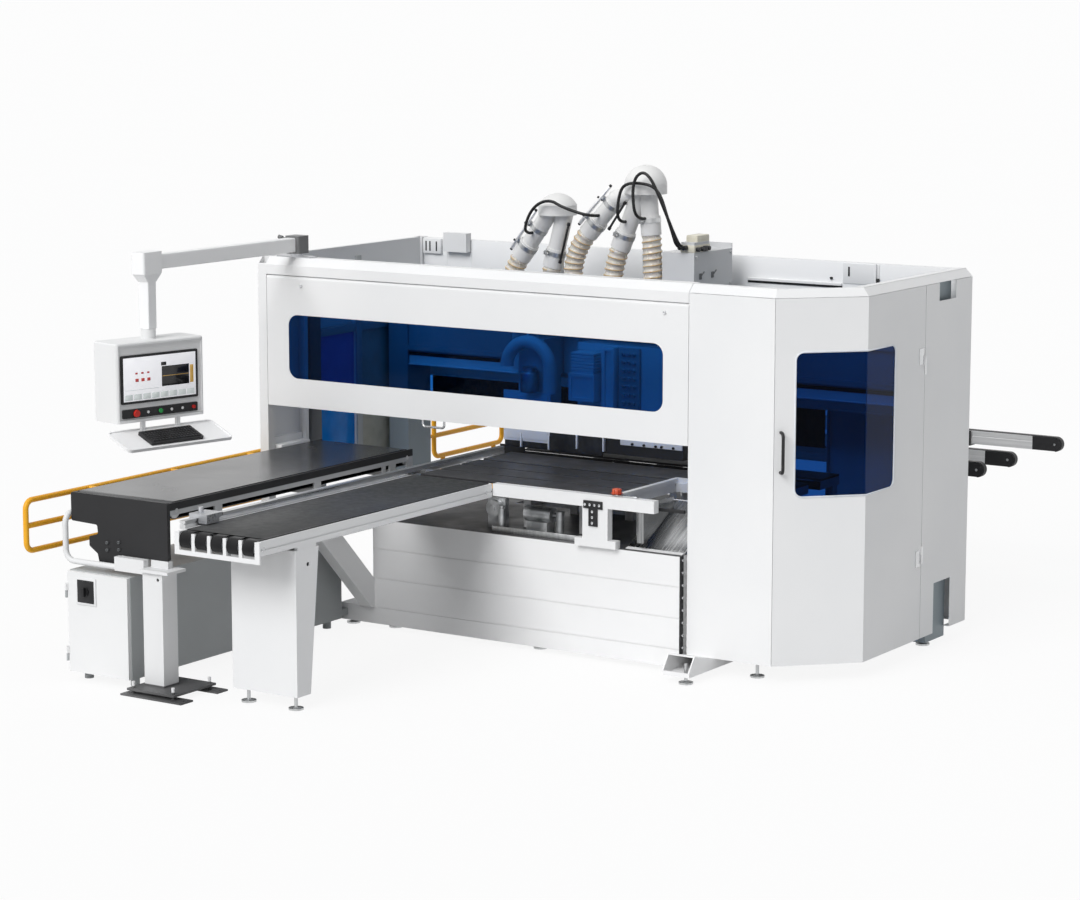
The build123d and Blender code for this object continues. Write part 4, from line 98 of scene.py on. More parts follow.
# %% Backdrop
def seen_as_white(tree, lit, output, share):
    """Show a shader as white to the camera, to mirrors and to glass, by the given share."""
    path = tree.nodes.new("ShaderNodeLightPath")
    white = tree.nodes.new("ShaderNodeBackground" if output.type == "OUTPUT_WORLD" else "ShaderNodeEmission")
    white.inputs["Color"].default_value = (1.0, 1.0, 1.0, 1.0)
    white.inputs["Strength"].default_value = 1.0
    seen = path.outputs["Is Camera Ray"]
    for kind in ("Is Glossy Ray", "Is Transmission Ray"):
        either = tree.nodes.new("ShaderNodeMath")
        either.operation = "MAXIMUM"
        tree.links.new(seen, either.inputs[0])
        tree.links.new(path.outputs[kind], either.inputs[1])
        seen = either.outputs["Value"]
    part = tree.nodes.new("ShaderNodeMath")
    part.operation = "MULTIPLY"
    part.inputs[1].default_value = share
    tree.links.new(seen, part.inputs[0])
    mix = tree.nodes.new("ShaderNodeMixShader")
    tree.links.new(part.outputs["Value"], mix.inputs["Fac"])
    tree.links.new(lit, mix.inputs[1])
    tree.links.new(white.outputs[0], mix.inputs[2])
    tree.links.new(mix.outputs["Shader"], output.inputs["Surface"])


world = bpy.data.worlds.new("studio")
bpy.context.scene.world = world
world.use_nodes = True
sky_light = world.node_tree.nodes["Background"]
sky_light.inputs["Color"].default_value = (0.95, 0.97, 1.0, 1.0)
sky_light.inputs["Strength"].default_value = 0.33
seen_as_white(world.node_tree, sky_light.outputs["Background"], world.node_tree.nodes["World Output"],
              share=1.0)
print("backdrop", world.name)

# %% [markdown]
# A studio gives soft light from the front, so the long front is bright, the bevelled corner a little
# less so and the cabinet's end is in mild shade. Area lamps would fade over five metres of machine. A
# sun doesn't, and a wide one has the same soft shadows, so one is the key and a wider one fills from above.

# %% Suns
def sun(name, towards, strength, spread):
    """A wide sun whose light comes from the given direction."""
    deselect()
    bpy.ops.object.light_add(type="SUN", location=(0.0, 0.0, 6.0))
    lamp = bpy.context.object
    lamp.name = name
    lamp.rotation_euler = Vector(towards).to_track_quat("Z", "Y").to_euler()
    lamp.data.energy = strength
    lamp.data.angle = math.radians(spread)


sun("key", towards=(-0.05, -1.0, 0.78), strength=2.05, spread=35.0)
sun("top_fill", towards=(-0.10, -0.25, 1.0), strength=0.65, spread=60.0)

# %% [markdown]
# Finishes are node trees. A painted picture could colour a piece, but noise on Object coordinates has the
# same scale on every piece and no seams. These helpers make the nodes that repeat: an empty finish, a
# noise, a colour from it and a number from it.

# %% Noise, colours and numbers
def new_finish(name, roughness=0.5, metallic=0.0, shine=0.5):
    """An empty finish: its material, its node tree and its shader."""
    material = bpy.data.materials.new(name)
    material.use_nodes = True
    shader = material.node_tree.nodes["Principled BSDF"]
    shader.inputs["Roughness"].default_value = roughness
    shader.inputs["Metallic"].default_value = metallic
    shader.inputs["Specular IOR Level"].default_value = shine
    return material, material.node_tree, shader


def grain(tree, scale, detail=3.0, stretch=(1.0, 1.0, 1.0)):
    """Noise on Object coordinates, in repeats for each metre, drawn out by stretch."""
    place = tree.nodes.new("ShaderNodeTexCoord")
    drawn = tree.nodes.new("ShaderNodeMapping")
    drawn.inputs["Scale"].default_value = stretch
    noise = tree.nodes.new("ShaderNodeTexNoise")
    noise.inputs["Scale"].default_value = scale
    noise.inputs["Detail"].default_value = detail
    tree.links.new(place.outputs["Object"], drawn.inputs["Vector"])
    tree.links.new(drawn.outputs["Vector"], noise.inputs["Vector"])
    return noise.outputs["Fac"]


def tint(tree, value, dark, light, low=0.3, high=0.7):
    """A colour between dark and light that follows a value."""
    ramp = tree.nodes.new("ShaderNodeValToRGB")
    ramp.color_ramp.elements[0].position = low
    ramp.color_ramp.elements[0].color = (*dark, 1.0)
    ramp.color_ramp.elements[1].position = high
    ramp.color_ramp.elements[1].color = (*light, 1.0)
    tree.links.new(value, ramp.inputs["Fac"])
    return ramp.outputs["Color"]


def amount(tree, value, low, high, start=0.3, end=0.7):
    """A number between low and high that follows a value."""
    spread = tree.nodes.new("ShaderNodeMapRange")
    spread.inputs["From Min"].default_value = start
    spread.inputs["From Max"].default_value = end
    spread.inputs["To Min"].default_value = low
    spread.inputs["To Max"].default_value = high
    tree.links.new(value, spread.inputs["Value"])
    return spread.outputs["Result"]


print("noise helpers ready")

# %% [markdown]
# No real surface has one even colour or shine: paint has clouds, metal has dull patches and plastic has a
# skin. Each of these is one link from a noise to a socket of the shader. They could be made by hand every
# time, but as three short steps a finish reads like a recipe: paint it, polish it, give it relief.

# %% Paint, polish and relief
def paint(tree, shader, value, dark, light, **stops):
    """Colour a shader between dark and light by a value."""
    tree.links.new(tint(tree, value, dark, light, **stops), shader.inputs["Base Color"])


def polish(tree, shader, value, rough):
    """Vary a shader's roughness between two limits by a value."""
    tree.links.new(amount(tree, value, *rough), shader.inputs["Roughness"])


def relief(tree, shader, value, strength, depth):
    """Give a shader a bump by a value."""
    bump = tree.nodes.new("ShaderNodeBump")
    bump.inputs["Strength"].default_value = strength
    bump.inputs["Distance"].default_value = depth
    tree.links.new(value, bump.inputs["Height"])
    tree.links.new(bump.outputs["Normal"], shader.inputs["Normal"])


print("shader helpers ready")

# %% [markdown]
# Most surfaces of the machine are powder coat, and some pieces change their colour at a level. Each coat
# could be set up by hand for every piece. One function for each of the two kinds keeps the scale of its
# clouds and its orange peel the same, so that only colours and shine differ.

# %% Powder coats in one and two colours
def axis_split(tree, level, under, over, axis="Z", soft=0.002):
    """One colour under a level on an axis and another over it, with a thin edge between."""
    place = tree.nodes.new("ShaderNodeTexCoord")
    axes = tree.nodes.new("ShaderNodeSeparateXYZ")
    mix = tree.nodes.new("ShaderNodeMix")
    mix.data_type = "RGBA"
    tree.links.new(place.outputs["Object"], axes.inputs["Vector"])
    share = amount(tree, axes.outputs[axis], 0.0, 1.0, level - soft, level + soft)
    tree.links.new(share, mix.inputs["Factor"])
    tree.links.new(under, mix.inputs["A"])
    tree.links.new(over, mix.inputs["B"])
    return mix.outputs["Result"]


def coat(name, dark, light, rough=(0.34, 0.46), peel=0.12, shine=0.25):
    """Powder coat: faint clouds in the colour, an uneven shine and an orange-peel surface."""
    material, tree, shader = new_finish(name, shine=shine)
    paint(tree, shader, grain(tree, 1.1, detail=4.0), dark, light)
    polish(tree, shader, grain(tree, 7.0), rough)
    relief(tree, shader, grain(tree, 420.0, detail=2.0), peel, depth=0.0005)
    return material


def split_coat(name, level, under, over, axis="Z"):
    """A coat with two colours, each a pair of dark and light, that change at a level on an axis."""
    material, tree, shader = new_finish(name, shine=0.25)
    clouds = grain(tree, 1.6, detail=4.0)
    colour = axis_split(tree, level, tint(tree, clouds, *under), tint(tree, clouds, *over), axis)
    tree.links.new(colour, shader.inputs["Base Color"])
    polish(tree, shader, grain(tree, 7.0), (0.36, 0.5))
    relief(tree, shader, grain(tree, 420.0, detail=2.0), strength=0.12, depth=0.0005)
    return material


print("kinds of coat ready")

# %% [markdown]
# The other surfaces are mostly metal with fine lines, and moulded plastic or rubber. One noise could serve
# both, but worked metal has its colour, shine and relief in the same lines, and a moulding has a fine
# pebbled skin that doesn't follow its colour. So metal shares one noise and a moulding has three.

# %% Lined metal and mouldings
def drawn_metal(name, dark, light, stretch, rough=(0.24, 0.38)):
    """Metal with fine lines along one direction, from rolling, grinding or turning."""
    material, tree, shader = new_finish(name, metallic=1.0)
    lines = grain(tree, 60.0, detail=4.0, stretch=stretch)
    paint(tree, shader, lines, dark, light)
    polish(tree, shader, lines, rough)
    relief(tree, shader, lines, strength=0.15, depth=0.0003)
    return material


def moulded(name, dark, light, rough=(0.35, 0.5), pebble=0.2, shine=0.3):
    """Moulded plastic or rubber with a fine pebbled skin."""
    material, tree, shader = new_finish(name, shine=shine)
    paint(tree, shader, grain(tree, 14.0), dark, light)
    polish(tree, shader, grain(tree, 30.0), rough)
    relief(tree, shader, grain(tree, 700.0, detail=2.0), pebble, depth=0.0004)
    return material


print("kinds of metal and moulding ready")

# %% [markdown]
# Most of the machine is folded sheet with a pale grey powder coat. The columns are a blue grey, the
# guards a warm yellow and the conveyor's rails black along the top. The bed is white in front, a little
# brighter than the white coat as painted light against the infeed table's shadow, and dark on its top
# behind the front panel. Two materials on one node would need its faces sorted, so the coats of the bed,
# rams, rails, feet and arm change colour at a level instead.

# %% Coats
BED_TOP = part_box("bed_frame")[1].z
SKIRT_TOP = 1.131
RAIL_BLACK_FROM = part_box("conveyor_frame")[1].z - 0.040
FOOT_PLATE_TOP = 0.050
ARM_ROOT = spot(0, 0.030, 0).y
white_coat = coat("white_coat", (0.775, 0.78, 0.785), (0.82, 0.82, 0.82))
# The bed's front white is painted light against the infeed table's shadow; its top is dark.
bed_coat = split_coat("bed_coat", BED_TOP - 0.003, ((0.80, 0.80, 0.805), (0.84, 0.84, 0.84)),
                      ((0.030, 0.031, 0.032), (0.085, 0.086, 0.088)))
ram_coat = split_coat("ram_coat", SKIRT_TOP, ((0.022, 0.022, 0.023), (0.045, 0.045, 0.047)),
                      ((0.70, 0.71, 0.72), (0.78, 0.785, 0.79)))
rail_coat = split_coat("rail_coat", RAIL_BLACK_FROM, ((0.42, 0.43, 0.435), (0.50, 0.505, 0.51)),
                       ((0.016, 0.016, 0.017), (0.028, 0.028, 0.03)))
foot_coat = split_coat("foot_coat", FOOT_PLATE_TOP, ((0.06, 0.06, 0.062), (0.16, 0.16, 0.162)),
                       ((0.73, 0.735, 0.74), (0.78, 0.78, 0.78)))
# The arm's white is brighter than white_coat as painted light on its shaded side; it is dark towards its root
# by the pivot.
arm_coat = split_coat("arm_coat", ARM_ROOT, ((0.87, 0.875, 0.88), (0.91, 0.91, 0.91)),
                      ((0.14, 0.142, 0.145), (0.22, 0.222, 0.225)), axis="Y")
grey_coat = coat("grey_coat", (0.40, 0.42, 0.425), (0.46, 0.475, 0.48))
column_coat = coat("column_coat", (0.24, 0.285, 0.31), (0.30, 0.345, 0.37))
# A copy of white_coat made brighter as painted light, for white pieces that sit in shade.
painted_light_coat = coat("painted_light_coat", (0.86, 0.865, 0.87), (0.90, 0.90, 0.90))
head_coat = coat("head_coat", (0.62, 0.63, 0.64), (0.69, 0.695, 0.70))
yellow_coat = coat("yellow_coat", (0.80, 0.36, 0.015), (0.93, 0.49, 0.035), rough=(0.25, 0.36))
black_coat = coat("black_coat", (0.020, 0.020, 0.021), (0.032, 0.032, 0.034), rough=(0.38, 0.5),
                  peel=0.25, shine=0.2)
pendant_coat = coat("pendant_coat", (0.77, 0.775, 0.775), (0.82, 0.82, 0.82))
pipe_coat = coat("pipe_coat", (0.74, 0.735, 0.725), (0.81, 0.81, 0.80), rough=(0.26, 0.38))
drive_coat = coat("drive_coat", (0.10, 0.105, 0.11), (0.17, 0.175, 0.18), rough=(0.4, 0.55))
print("coats made")

# %% [markdown]
# Bare metal shows on the drawn aluminium profiles, the ground pusher and arm pivot, the turned rollers,
# the bright handle and the rolled sheet of the chute. A smooth metal shader looks like a mirror, so each
# has a noise drawn out along the way that the real one was worked. The castings of the feed drive have no
# such way, and get broad patches and a coarse skin.

# %% Metals
profile_metal = drawn_metal("profile_metal", (0.62, 0.63, 0.64), (0.74, 0.745, 0.75),
                            stretch=(1.0, 0.02, 1.0))
arm_metal = drawn_metal("arm_metal", (0.80, 0.805, 0.81), (0.90, 0.90, 0.905), stretch=(0.02, 1.0, 1.0),
                        rough=(0.42, 0.55))
ground_steel = drawn_metal("ground_steel", (0.42, 0.43, 0.45), (0.55, 0.56, 0.58),
                           stretch=(0.05, 1.0, 1.0))
turned_steel = drawn_metal("turned_steel", (0.46, 0.47, 0.48), (0.60, 0.61, 0.62),
                           stretch=(4.0, 0.1, 0.1))
zinc_steel = drawn_metal("zinc_steel", (0.45, 0.46, 0.47), (0.62, 0.63, 0.63), stretch=(1.0, 1.0, 0.2),
                         rough=(0.3, 0.45))
bright_bar = drawn_metal("bright_bar", (0.55, 0.56, 0.57), (0.68, 0.69, 0.70), stretch=(1.0, 1.0, 0.1),
                         rough=(0.15, 0.25))
chute_steel = drawn_metal("chute_steel", (0.20, 0.205, 0.21), (0.40, 0.405, 0.41),
                          stretch=(1.0, 0.03, 0.03), rough=(0.2, 0.32))
cast_metal, cast_tree, cast_shader = new_finish("cast_metal", metallic=0.85)
paint(cast_tree, cast_shader, grain(cast_tree, 9.0, detail=4.0), (0.30, 0.31, 0.32), (0.66, 0.67, 0.68),
      low=0.4, high=0.6)
polish(cast_tree, cast_shader, grain(cast_tree, 30.0), (0.28, 0.45))
relief(cast_tree, cast_shader, grain(cast_tree, 260.0), strength=0.3, depth=0.0008)
print("metals made")

# %% [markdown]
# The conveyor's belt is smooth and black with an even sheen, and catches the bright room at a low angle.
# A matt black would stay black from there, so its shine is high and its roughness varies little. The
# infeed deck's sheet and the table strips under the hood are charcoal laminate, and small fittings are
# plastic. The table strips are painted lighter towards the rear, as a painted sheen.

# %% Belts, strips and plastics
STRIP_SHEEN_FROM = spot(0, 0.605, 0).y
belt_rubber, belt_tree, belt_shader = new_finish("belt_rubber", shine=0.8)
paint(belt_tree, belt_shader, grain(belt_tree, 5.0, detail=4.0), (0.030, 0.031, 0.033), (0.045, 0.046, 0.048))
polish(belt_tree, belt_shader, grain(belt_tree, 3.0), (0.23, 0.28))
relief(belt_tree, belt_shader, grain(belt_tree, 600.0, detail=1.0), strength=0.06, depth=0.0003)
deck_laminate = moulded("deck_laminate", (0.024, 0.025, 0.025), (0.036, 0.037, 0.037), rough=(0.40, 0.50),
                        pebble=0.12, shine=0.22)
# The rear strips are lighter as a painted sheen; the front ones keep the laminate's charcoal.
strip_laminate_and_sheen = split_coat("strip_laminate_and_sheen", STRIP_SHEEN_FROM,
                            ((0.024, 0.024, 0.026), (0.040, 0.040, 0.043)),
                            ((0.042, 0.042, 0.044), (0.070, 0.070, 0.073)), axis="Y")
slot_black = moulded("slot_black", (0.008, 0.008, 0.009), (0.014, 0.014, 0.015), rough=(0.3, 0.4),
                     pebble=0.1, shine=0.15)
black_plastic = moulded("black_plastic", (0.012, 0.012, 0.013), (0.022, 0.022, 0.024), rough=(0.3, 0.42))
key_plastic = moulded("key_plastic", (0.016, 0.016, 0.017), (0.030, 0.030, 0.032), rough=(0.4, 0.55))
red_plastic = moulded("red_plastic", (0.50, 0.015, 0.012), (0.62, 0.03, 0.02), rough=(0.22, 0.32),
                      pebble=0.08)
orange_plastic = moulded("orange_plastic", (0.50, 0.07, 0.03), (0.66, 0.13, 0.06), rough=(0.22, 0.32),
                         pebble=0.08)
green_plastic = moulded("green_plastic", (0.02, 0.30, 0.07), (0.04, 0.42, 0.10), rough=(0.22, 0.32),
                        pebble=0.08)
cream_plastic = moulded("cream_plastic", (0.66, 0.62, 0.50), (0.74, 0.71, 0.60), rough=(0.3, 0.42),
                        pebble=0.1)
cable_rubber = moulded("cable_rubber", (0.010, 0.010, 0.011), (0.020, 0.020, 0.021), rough=(0.4, 0.55))
brush_fibre = moulded("brush_fibre", (0.016, 0.016, 0.017), (0.040, 0.040, 0.042), rough=(0.5, 0.7),
                      pebble=0.4)
print("plastics made")

# %% [markdown]
# The windows are clear sheet with a strong blue tint, deeper on the corner door. A tinted sheet would put
# the inside in the dark, so lamps may shine through, and the heads behind it stay lit and show as paler
# blue shapes. The panes in the left end wall show little of what is behind them, so they stay solid.

# %% Tinted windows
def tinted(name, low, high):
    """A clear sheet tinted between two colours, which lets the lamps through."""
    finish, tree, shader = new_finish(name, roughness=0.03, shine=0.06)
    shader.inputs["Transmission Weight"].default_value = 1.0
    shader.inputs["IOR"].default_value = 1.12
    paint(tree, shader, grain(tree, 1.5, detail=2.0), low, high)
    path = tree.nodes.new("ShaderNodeLightPath")
    clear = tree.nodes.new("ShaderNodeBsdfTransparent")
    clear.inputs["Color"].default_value = (0.82, 0.82, 0.82, 1.0)
    mix = tree.nodes.new("ShaderNodeMixShader")
    tree.links.new(path.outputs["Is Shadow Ray"], mix.inputs["Fac"])
    tree.links.new(shader.outputs["BSDF"], mix.inputs[1])
    tree.links.new(clear.outputs["BSDF"], mix.inputs[2])
    tree.links.new(mix.outputs["Shader"], tree.nodes["Material Output"].inputs["Surface"])
    return finish


tinted_sheet = tinted("tinted_sheet", (0.008, 0.100, 0.36), (0.012, 0.130, 0.46))
deep_sheet = tinted("deep_sheet", (0.005, 0.048, 0.21), (0.007, 0.062, 0.27))
blue_pane = moulded("blue_pane", (0.004, 0.19, 0.62), (0.006, 0.23, 0.72), rough=(0.12, 0.2), pebble=0.03,
                    shine=0.1)
olive_pane = moulded("olive_pane", (0.40, 0.40, 0.34), (0.48, 0.48, 0.42), rough=(0.15, 0.25),
                     pebble=0.03, shine=0.1)
print("window sheets made")

# %% [markdown]
# Every CAD node gets one of these finishes. Its shape is already right, so only its material slot
# changes. The list goes by finish, because that shows at a glance which pieces share a coat.

# %% Dress the CAD nodes
dress = {
    white_coat: ["corner_posts", "top_lip", "left_wall", "rear_wall", "cabinet_front_panel",
                 "cabinet_end_panel", "hood_cover", "door_shell", "infeed_frame", "infeed_pedestal",
                 "table_frame", "door_hinges"],
    # The keyboard tray's brighter white is painted light on its top.
    painted_light_coat: ["keyboard_tray"],
    arm_coat: ["swing_arm"],
    foot_coat: ["conveyor_supports"],
    rail_coat: ["conveyor_frame"],
    bed_coat: ["bed_frame", "bed_panels"],
    ram_coat: ["ram_left", "ram_right"],
    # The electrical cabinet's grey coat is painted shade, for the shadow that its side has under the
    # conveyor.
    grey_coat: ["electrical_cabinet", "outfeed_frame", "lower_carriage"],
    column_coat: ["gantry"],
    head_coat: ["head_carriage"],
    yellow_coat: ["guard_rails"],
    black_coat: ["conveyor_end_cover", "outfeed_end_caps"],
    pendant_coat: ["pendant_box", "electrical_door"],
    pipe_coat: ["dust_pipes"],
    cast_metal: ["feed_drive"],
    profile_metal: ["fence_rail"],
    arm_metal: ["outfeed_arms"],
    ground_steel: ["arm_pivot", "pusher"],
    turned_steel: ["infeed_drive_roller", "infeed_tail_roller", "conveyor_drive_drum", "conveyor_tail_drum",
                   "outfeed_pulleys", "spindle_left", "spindle_right", "lower_spindle"],
    zinc_steel: ["levelling_feet"],
    bright_bar: ["hood_handle"],
    belt_rubber: ["conveyor_belt"],
    strip_laminate_and_sheen: ["table_strips"],
    slot_black: ["infeed_deck"],
    black_plastic: ["door_handle", "pendant_face", "main_switch"],
    key_plastic: ["keyboard"],
    red_plastic: ["emergency_stop", "stop_button"],
    green_plastic: ["start_button"],
    tinted_sheet: ["hood_window"],
    deep_sheet: ["door_window"],
    cream_plastic: ["dust_hoses"],
    cable_rubber: ["head_cables"],
}
for material, names in dress.items():
    for name in names:
        nodes[name].data.materials.clear()
        nodes[name].data.materials.append(material)
print("dressed", sum(len(names) for names in dress.values()), "of", len(nodes), "nodes")

# %% [markdown]
# A cable or hose follows one smooth line. Its corners could be rounded by hand, but a NURBS spline with
# the route's points as its control points rounds them by itself. The line's length is measured before
# it gets a thickness, because a bevelled curve no longer gives its middle line.

# %% Lines for cables and hoses
def line_through(name, points):
    """A smooth open line with the given places in the row frame as its control points."""
    line = bpy.data.curves.new(name, "CURVE")
    line.dimensions = "3D"
    line.resolution_u = 16
    spline = line.splines.new("NURBS")
    spline.points.add(len(points) - 1)
    for point, place in zip(spline.points, points):
        point.co = (*spot(*place), 1.0)
    spline.order_u = 3
    spline.use_endpoint_u = True
    piece = bpy.data.objects.new(name, line)
    bpy.context.collection.objects.link(piece)
    return piece


def line_length(piece):
    """Length along a line, from the points that its spline gives."""
    mesh = bpy.data.meshes.new_from_object(piece)
    places = [vertex.co for vertex in mesh.vertices]
    length = sum((b - a).length for a, b in zip(places[:-1], places[1:]))
    bpy.data.meshes.remove(mesh)
    return length


print("lines ready")

# %% [markdown]
# Three black cables arch from the dust pipes: two over the right hub and down into the junction box, one
# from the left pipe to the right pipe. They come before the other pieces, because they are the free
# ones. A tube could be swept along each line as a mesh, but a round bevel on the curve is even and stays
# easy to change.

# %% Cables
CABLE_RADIUS = 0.009
CABLE_ROUTES = {
    "hub_cable": [(-0.990, 0.9475, 2.375), (-0.990, 0.850, 2.375), (-0.978, 0.850, 2.540),
                  (-0.930, 0.850, 2.612), (-0.760, 0.850, 2.608), (-0.702, 0.862, 2.550),
                  (-0.675, 0.888, 2.430), (-0.655, 0.918, 2.330), (-0.640, 0.945, 2.238),
                  (-0.640, 1.0097, 2.238)],
    "pipe_cable": [(-0.853, 0.9395, 2.400), (-0.853, 0.830, 2.400), (-0.868, 0.822, 2.560),
                   (-0.850, 0.822, 2.645), (-0.795, 0.822, 2.682), (-0.740, 0.822, 2.640),
                   (-0.695, 0.835, 2.540), (-0.660, 0.870, 2.420), (-0.632, 0.905, 2.315),
                   (-0.612, 0.945, 2.238), (-0.612, 1.0097, 2.238)],
    "link_cable": [(-1.641, 0.9475, 2.280), (-1.641, 0.850, 2.280), (-1.600, 0.846, 2.400),
                   (-1.530, 0.846, 2.470), (-1.440, 0.846, 2.488), (-1.370, 0.850, 2.450),
                   (-1.175, 0.850, 2.403), (-1.175, 0.9475, 2.403)],
}
for name, points in CABLE_ROUTES.items():
    cable = line_through(name, points)
    length = line_length(cable)
    cable.data.bevel_depth = CABLE_RADIUS
    cable.data.bevel_resolution = 5
    cable.data.use_fill_caps = True
    cable.data.materials.append(cable_rubber)
    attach(cable, "head")
    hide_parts("head_cables")
    print(name, round(length, 3), "m")

# %% [markdown]
# Hard pieces are modelled as by hand: add a primitive, enter edit mode, pick faces, draw them out and
# leave edit mode. These helpers hold the selecting that repeats. Faces are picked by place or direction
# and not by number, because the numbers change with every cut.

# %% Selecting
def alone(piece):
    """Select one piece and make it the active one."""
    deselect()
    piece.select_set(True)
    bpy.context.view_layer.objects.active = piece
    return piece


def named(name):
    """Name the piece that was just added, and put its size and place into its mesh."""
    piece = bpy.context.object
    piece.name = name
    bpy.ops.object.transform_apply(location=True, rotation=True, scale=True)
    return piece


def done():
    """Leave edit mode."""
    bpy.ops.object.mode_set(mode="OBJECT")


def edit_all(piece):
    """Enter edit mode with all of one piece selected."""
    alone(piece)
    bpy.ops.object.mode_set(mode="EDIT")
    bpy.ops.mesh.select_all(action="SELECT")


def pick(piece, test):
    """Enter edit mode with the faces selected whose middle and normal pass a test."""
    alone(piece)
    bpy.ops.object.mode_set(mode="EDIT")
    bpy.ops.mesh.select_mode(type="FACE")
    bpy.ops.mesh.select_all(action="DESELECT")
    done()
    for face in piece.data.polygons:
        face.select = test(face.center, face.normal)
    bpy.ops.object.mode_set(mode="EDIT")


def facing(way):
    """A test for the faces that look one way."""
    return lambda middle, normal: normal.dot(way) > 0.9


print("selecting helpers ready")

# %% [markdown]
# Three edits shape most pieces: draw faces out, cut along a plane, and apply a modifier. A modifier could
# stay live, but later edits need its real faces, so it is applied at once.

# %% Edit steps
def draw_out(x, y, z):
    """Extrude what is selected by a step."""
    bpy.ops.mesh.extrude_region_move(TRANSFORM_OT_translate={"value": (x, y, z)})


def cut_at(place, way, **keep):
    """Cut all of a piece, in edit mode, along a plane through a place."""
    bpy.ops.mesh.select_all(action="SELECT")
    bpy.ops.mesh.bisect(plane_co=place, plane_no=way, **keep)


def shaped(piece, kind, **settings):
    """Give a piece a modifier with the given settings, and apply it."""
    alone(piece)
    modifier = piece.modifiers.new(kind.lower(), kind)
    for setting, value in settings.items():
        setattr(modifier, setting, value)
    bpy.ops.object.modifier_apply(modifier=modifier.name)
    return piece


print("edit steps ready")

# %% [markdown]
# Most small fittings are plates and blocks. A plain cube has knife edges that no real part has, so a block
# is given by its limits, and then all its edges are rounded. The rounded edges catch the light, which
# makes a small piece look real.

# %% Blocks
FLAT = Matrix.Identity(4)


def raw_slab(name, x, y, z, base=ROW):
    """A block between three pairs of limits, in the row frame or in a turned one."""
    middle = Vector([sum(pair) / 2 for pair in (x, y, z)])
    deselect()
    bpy.ops.mesh.primitive_cube_add(size=1.0, location=base @ middle, rotation=base.to_euler(),
                                    scale=[pair[1] - pair[0] for pair in (x, y, z)])
    return named(name)


def ease(piece, edge):
    """Round all edges of a piece."""
    edit_all(piece)
    bpy.ops.mesh.bevel(offset=edge, segments=2, affect="EDGES")
    done()
    return piece


def slab(name, x, y, z, edge=0.002, base=ROW):
    """A block between three pairs of limits, with rounded edges."""
    return ease(raw_slab(name, x, y, z, base), edge)


print("blocks ready")

# %% [markdown]
# Round bars, pins and glands are cylinders between two places. A cylinder could be turned into place by
# angles, but its two ends are easier to measure, so they give its length and its direction. Both rims are
# eased. Small parts of one finish that move together are joined into one piece.

# %% Bars and joining
def bar(name, start, end, radius, sides=24, edge=0.0015, base=ROW):
    """A round bar between two places, with its two rims eased."""
    start, end = base @ Vector(start), base @ Vector(end)
    run = end - start
    deselect()
    bpy.ops.mesh.primitive_cylinder_add(vertices=sides, radius=radius, depth=run.length,
                                        location=(start + end) / 2,
                                        rotation=run.to_track_quat("Z", "Y").to_euler())
    piece = named(name)
    along = run.normalized()
    pick(piece, lambda middle, normal: abs(normal.dot(along)) > 0.9)
    bpy.ops.mesh.bevel(offset=edge, segments=2, affect="EDGES")
    done()
    return piece


def joined(name, pieces):
    """Join several pieces into one."""
    alone(pieces[0])
    for piece in pieces:
        piece.select_set(True)
    bpy.ops.object.join()
    bpy.context.object.name = name
    return bpy.context.object


print("bars and joining ready")

# %% [markdown]
# A finished piece gets its shading, its finish and the body that carries it. Screws repeat all over the
# machine. A screw could be a plain disc, but the socket in its head is what the eye looks for, so one
# head is modelled with its socket and copied, each copy with its own mesh.

# %% Settling, copies and screws
def settle(piece, body, finish, sharp=40.0):
    """Give a finished piece its shading, finish, slot and the body that carries it."""
    alone(piece)
    bpy.ops.object.shade_smooth_by_angle(angle=math.radians(sharp))
    piece.data.materials.clear()
    piece.data.materials.append(finish)
    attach(piece, body)
    return piece


def copy_at(pattern, place, turn):
    """A copy of a piece with its own mesh, turned and moved into place."""
    piece = pattern.copy()
    piece.data = pattern.data.copy()
    bpy.context.collection.objects.link(piece)
    piece.matrix_world = Matrix.Translation(place) @ turn.to_matrix().to_4x4()
    alone(piece)
    bpy.ops.object.transform_apply(location=True, rotation=True, scale=True)
    return piece


def cap_screw(radius):
    """Head of a socket cap screw, standing on the origin."""
    deselect()
    bpy.ops.mesh.primitive_cylinder_add(vertices=14, radius=radius, depth=radius,
                                        location=(0, 0, radius / 2))
    head = named("cap_screw")
    pick(head, facing(UP))
    bpy.ops.mesh.inset(thickness=0.15 * radius)
    bpy.ops.transform.translate(value=(0, 0, 0.15 * radius))
    bpy.ops.mesh.inset(thickness=0.35 * radius)
    draw_out(0, 0, -0.6 * radius)
    done()
    return head


def screws(name, places, towards, body, finish, radius=0.008):
    """A group of cap screws at the given places, all facing one way."""
    pattern = cap_screw(radius)
    turn = towards.to_track_quat("Z", "Y")
    group = [copy_at(pattern, spot(*place), turn) for place in places]
    bpy.data.objects.remove(pattern)
    return settle(joined(name, group), body, finish)


print("settling helpers ready")

# %% [markdown]
# The ribbed hoses between the pipes and the deck are clear plastic film on a spiral of stiff wire. Fully
# clear film would show the empty bore, and opaque film would look like cardboard. A little transmission
# and some scatter under the skin give the milky look of used hose, with a tan wire.

